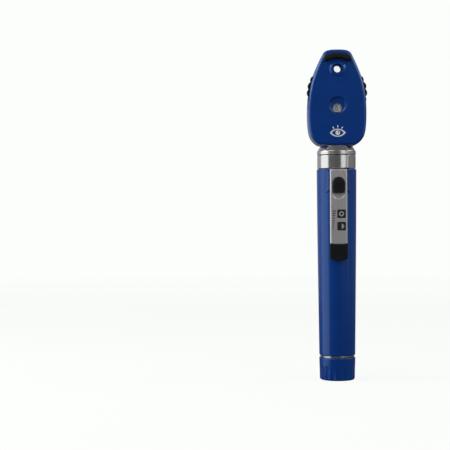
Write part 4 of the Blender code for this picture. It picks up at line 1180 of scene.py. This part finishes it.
def make_world():
    """A near-white background, with dim even light from the room."""
    world = bpy.data.worlds.new("studio")
    world.use_nodes = True
    bpy.context.scene.world = world
    nodes, links = world.node_tree.nodes, world.node_tree.links
    room = nodes["Background"]
    room.inputs["Color"].default_value = (1, 1, 1, 1)
    room.inputs["Strength"].default_value = ROOM_LIGHT
    backdrop = nodes.new("ShaderNodeBackground")
    backdrop.inputs["Color"].default_value = (*BACKGROUND, 1)
    rays = nodes.new("ShaderNodeLightPath")
    mix = nodes.new("ShaderNodeMixShader")
    links.new(rays.outputs["Is Camera Ray"], mix.inputs["Fac"])
    links.new(room.outputs["Background"], mix.inputs[1])
    links.new(backdrop.outputs["Background"], mix.inputs[2])
    links.new(mix.outputs["Shader"], nodes["World Output"].inputs["Surface"])


def panel(name, width, height, radiance):
    """An area light of a given radiance that the camera doesn't see."""
    light = bpy.data.lights.new(name, "AREA")
    light.shape = "RECTANGLE"
    light.size = width
    light.size_y = height
    light.energy = radiance * math.pi * width * height
    obj = in_scene(name, light)
    obj.visible_camera = False
    return obj


def softbox(name, bearing, distance, width, bottom, top, radiance):
    """An upright panel that faces the handle's axis. The bearing is degrees from the front, to the right."""
    obj = panel(name, width, top - bottom, radiance)
    angle = math.radians(bearing)
    obj.location = (distance * math.sin(angle), -distance * math.cos(angle), (bottom + top) / 2)
    obj.rotation_euler = (math.pi / 2, 0, angle)


def high_panel(name, elevation, bearing, distance, size, radiance):
    """A square panel above the object that faces the middle of it."""
    obj = panel(name, size, size, radiance)
    rise, turn = math.radians(elevation), math.radians(bearing)
    away = Vector((math.cos(rise) * math.sin(turn), -math.cos(rise) * math.cos(turn), math.sin(rise)))
    obj.location = Vector((0, 0, 0.1)) + away * distance
    obj.rotation_euler = away.to_track_quat("Z", "Y").to_euler()


def make_lights():
    """A long key at the left and a softer one at the right draw the bands that run down the metal."""
    softbox("key_left", -83, 0.36, 0.38, -0.06, 0.45, 1.0)
    softbox("fill_back_left", -135, 0.6, 0.45, 0.0, 0.5, 0.28)
    softbox("front_right", 37, 0.75, 0.40, 0.06, 0.6, 0.72)
    softbox("side_right_near", 64, 0.62, 0.14, 0.0, 0.5, 0.42)
    softbox("side_right_far", 100, 0.6, 0.5, 0.0, 0.5, 0.1)
    softbox("back_right", 150, 0.8, 0.5, 0.0, 0.5, 0.12)
    softbox("backdrop", 180, 0.9, 0.8, 0.0, 0.5, 0.3)
    high_panel("high_left_front", 32, -38, 0.9, 0.5, 2.4)
    high_panel("high_right_front", 32, 34, 0.9, 0.5, 1.5)
    high_panel("high_left", 28, -85, 0.9, 0.42, 4.6)
    high_panel("high_right", 28, 88, 0.9, 0.42, 3.7)
    high_panel("high_back", 70, 180, 1.0, 0.5, 1.0)


def make_camera():
    data = bpy.data.cameras.new("camera")
    data.lens = CAMERA_LENS
    data.clip_start = 0.01
    camera = in_scene("camera", data)
    camera.location = CAMERA_PLACE
    camera.rotation_euler = (math.pi / 2, CAMERA_ROLL, 0)
    bpy.context.scene.camera = camera


make_handle()
make_collar()
make_threads()
make_end_cap()
make_clip()
make_clip_tip()
make_slider()
make_clip_marks()
make_head_collar()
make_front_shell()
make_rear_shell()
make_head_screws()
make_brow_rest()
make_eye_mark()
make_lens_wheel()
make_dial_numbers()
make_readout_lens()
make_aperture_wheel()
finish_inner_nodes()
make_floor()
make_world()
make_lights()
make_camera()
bpy.context.scene.view_settings.view_transform = "Standard"
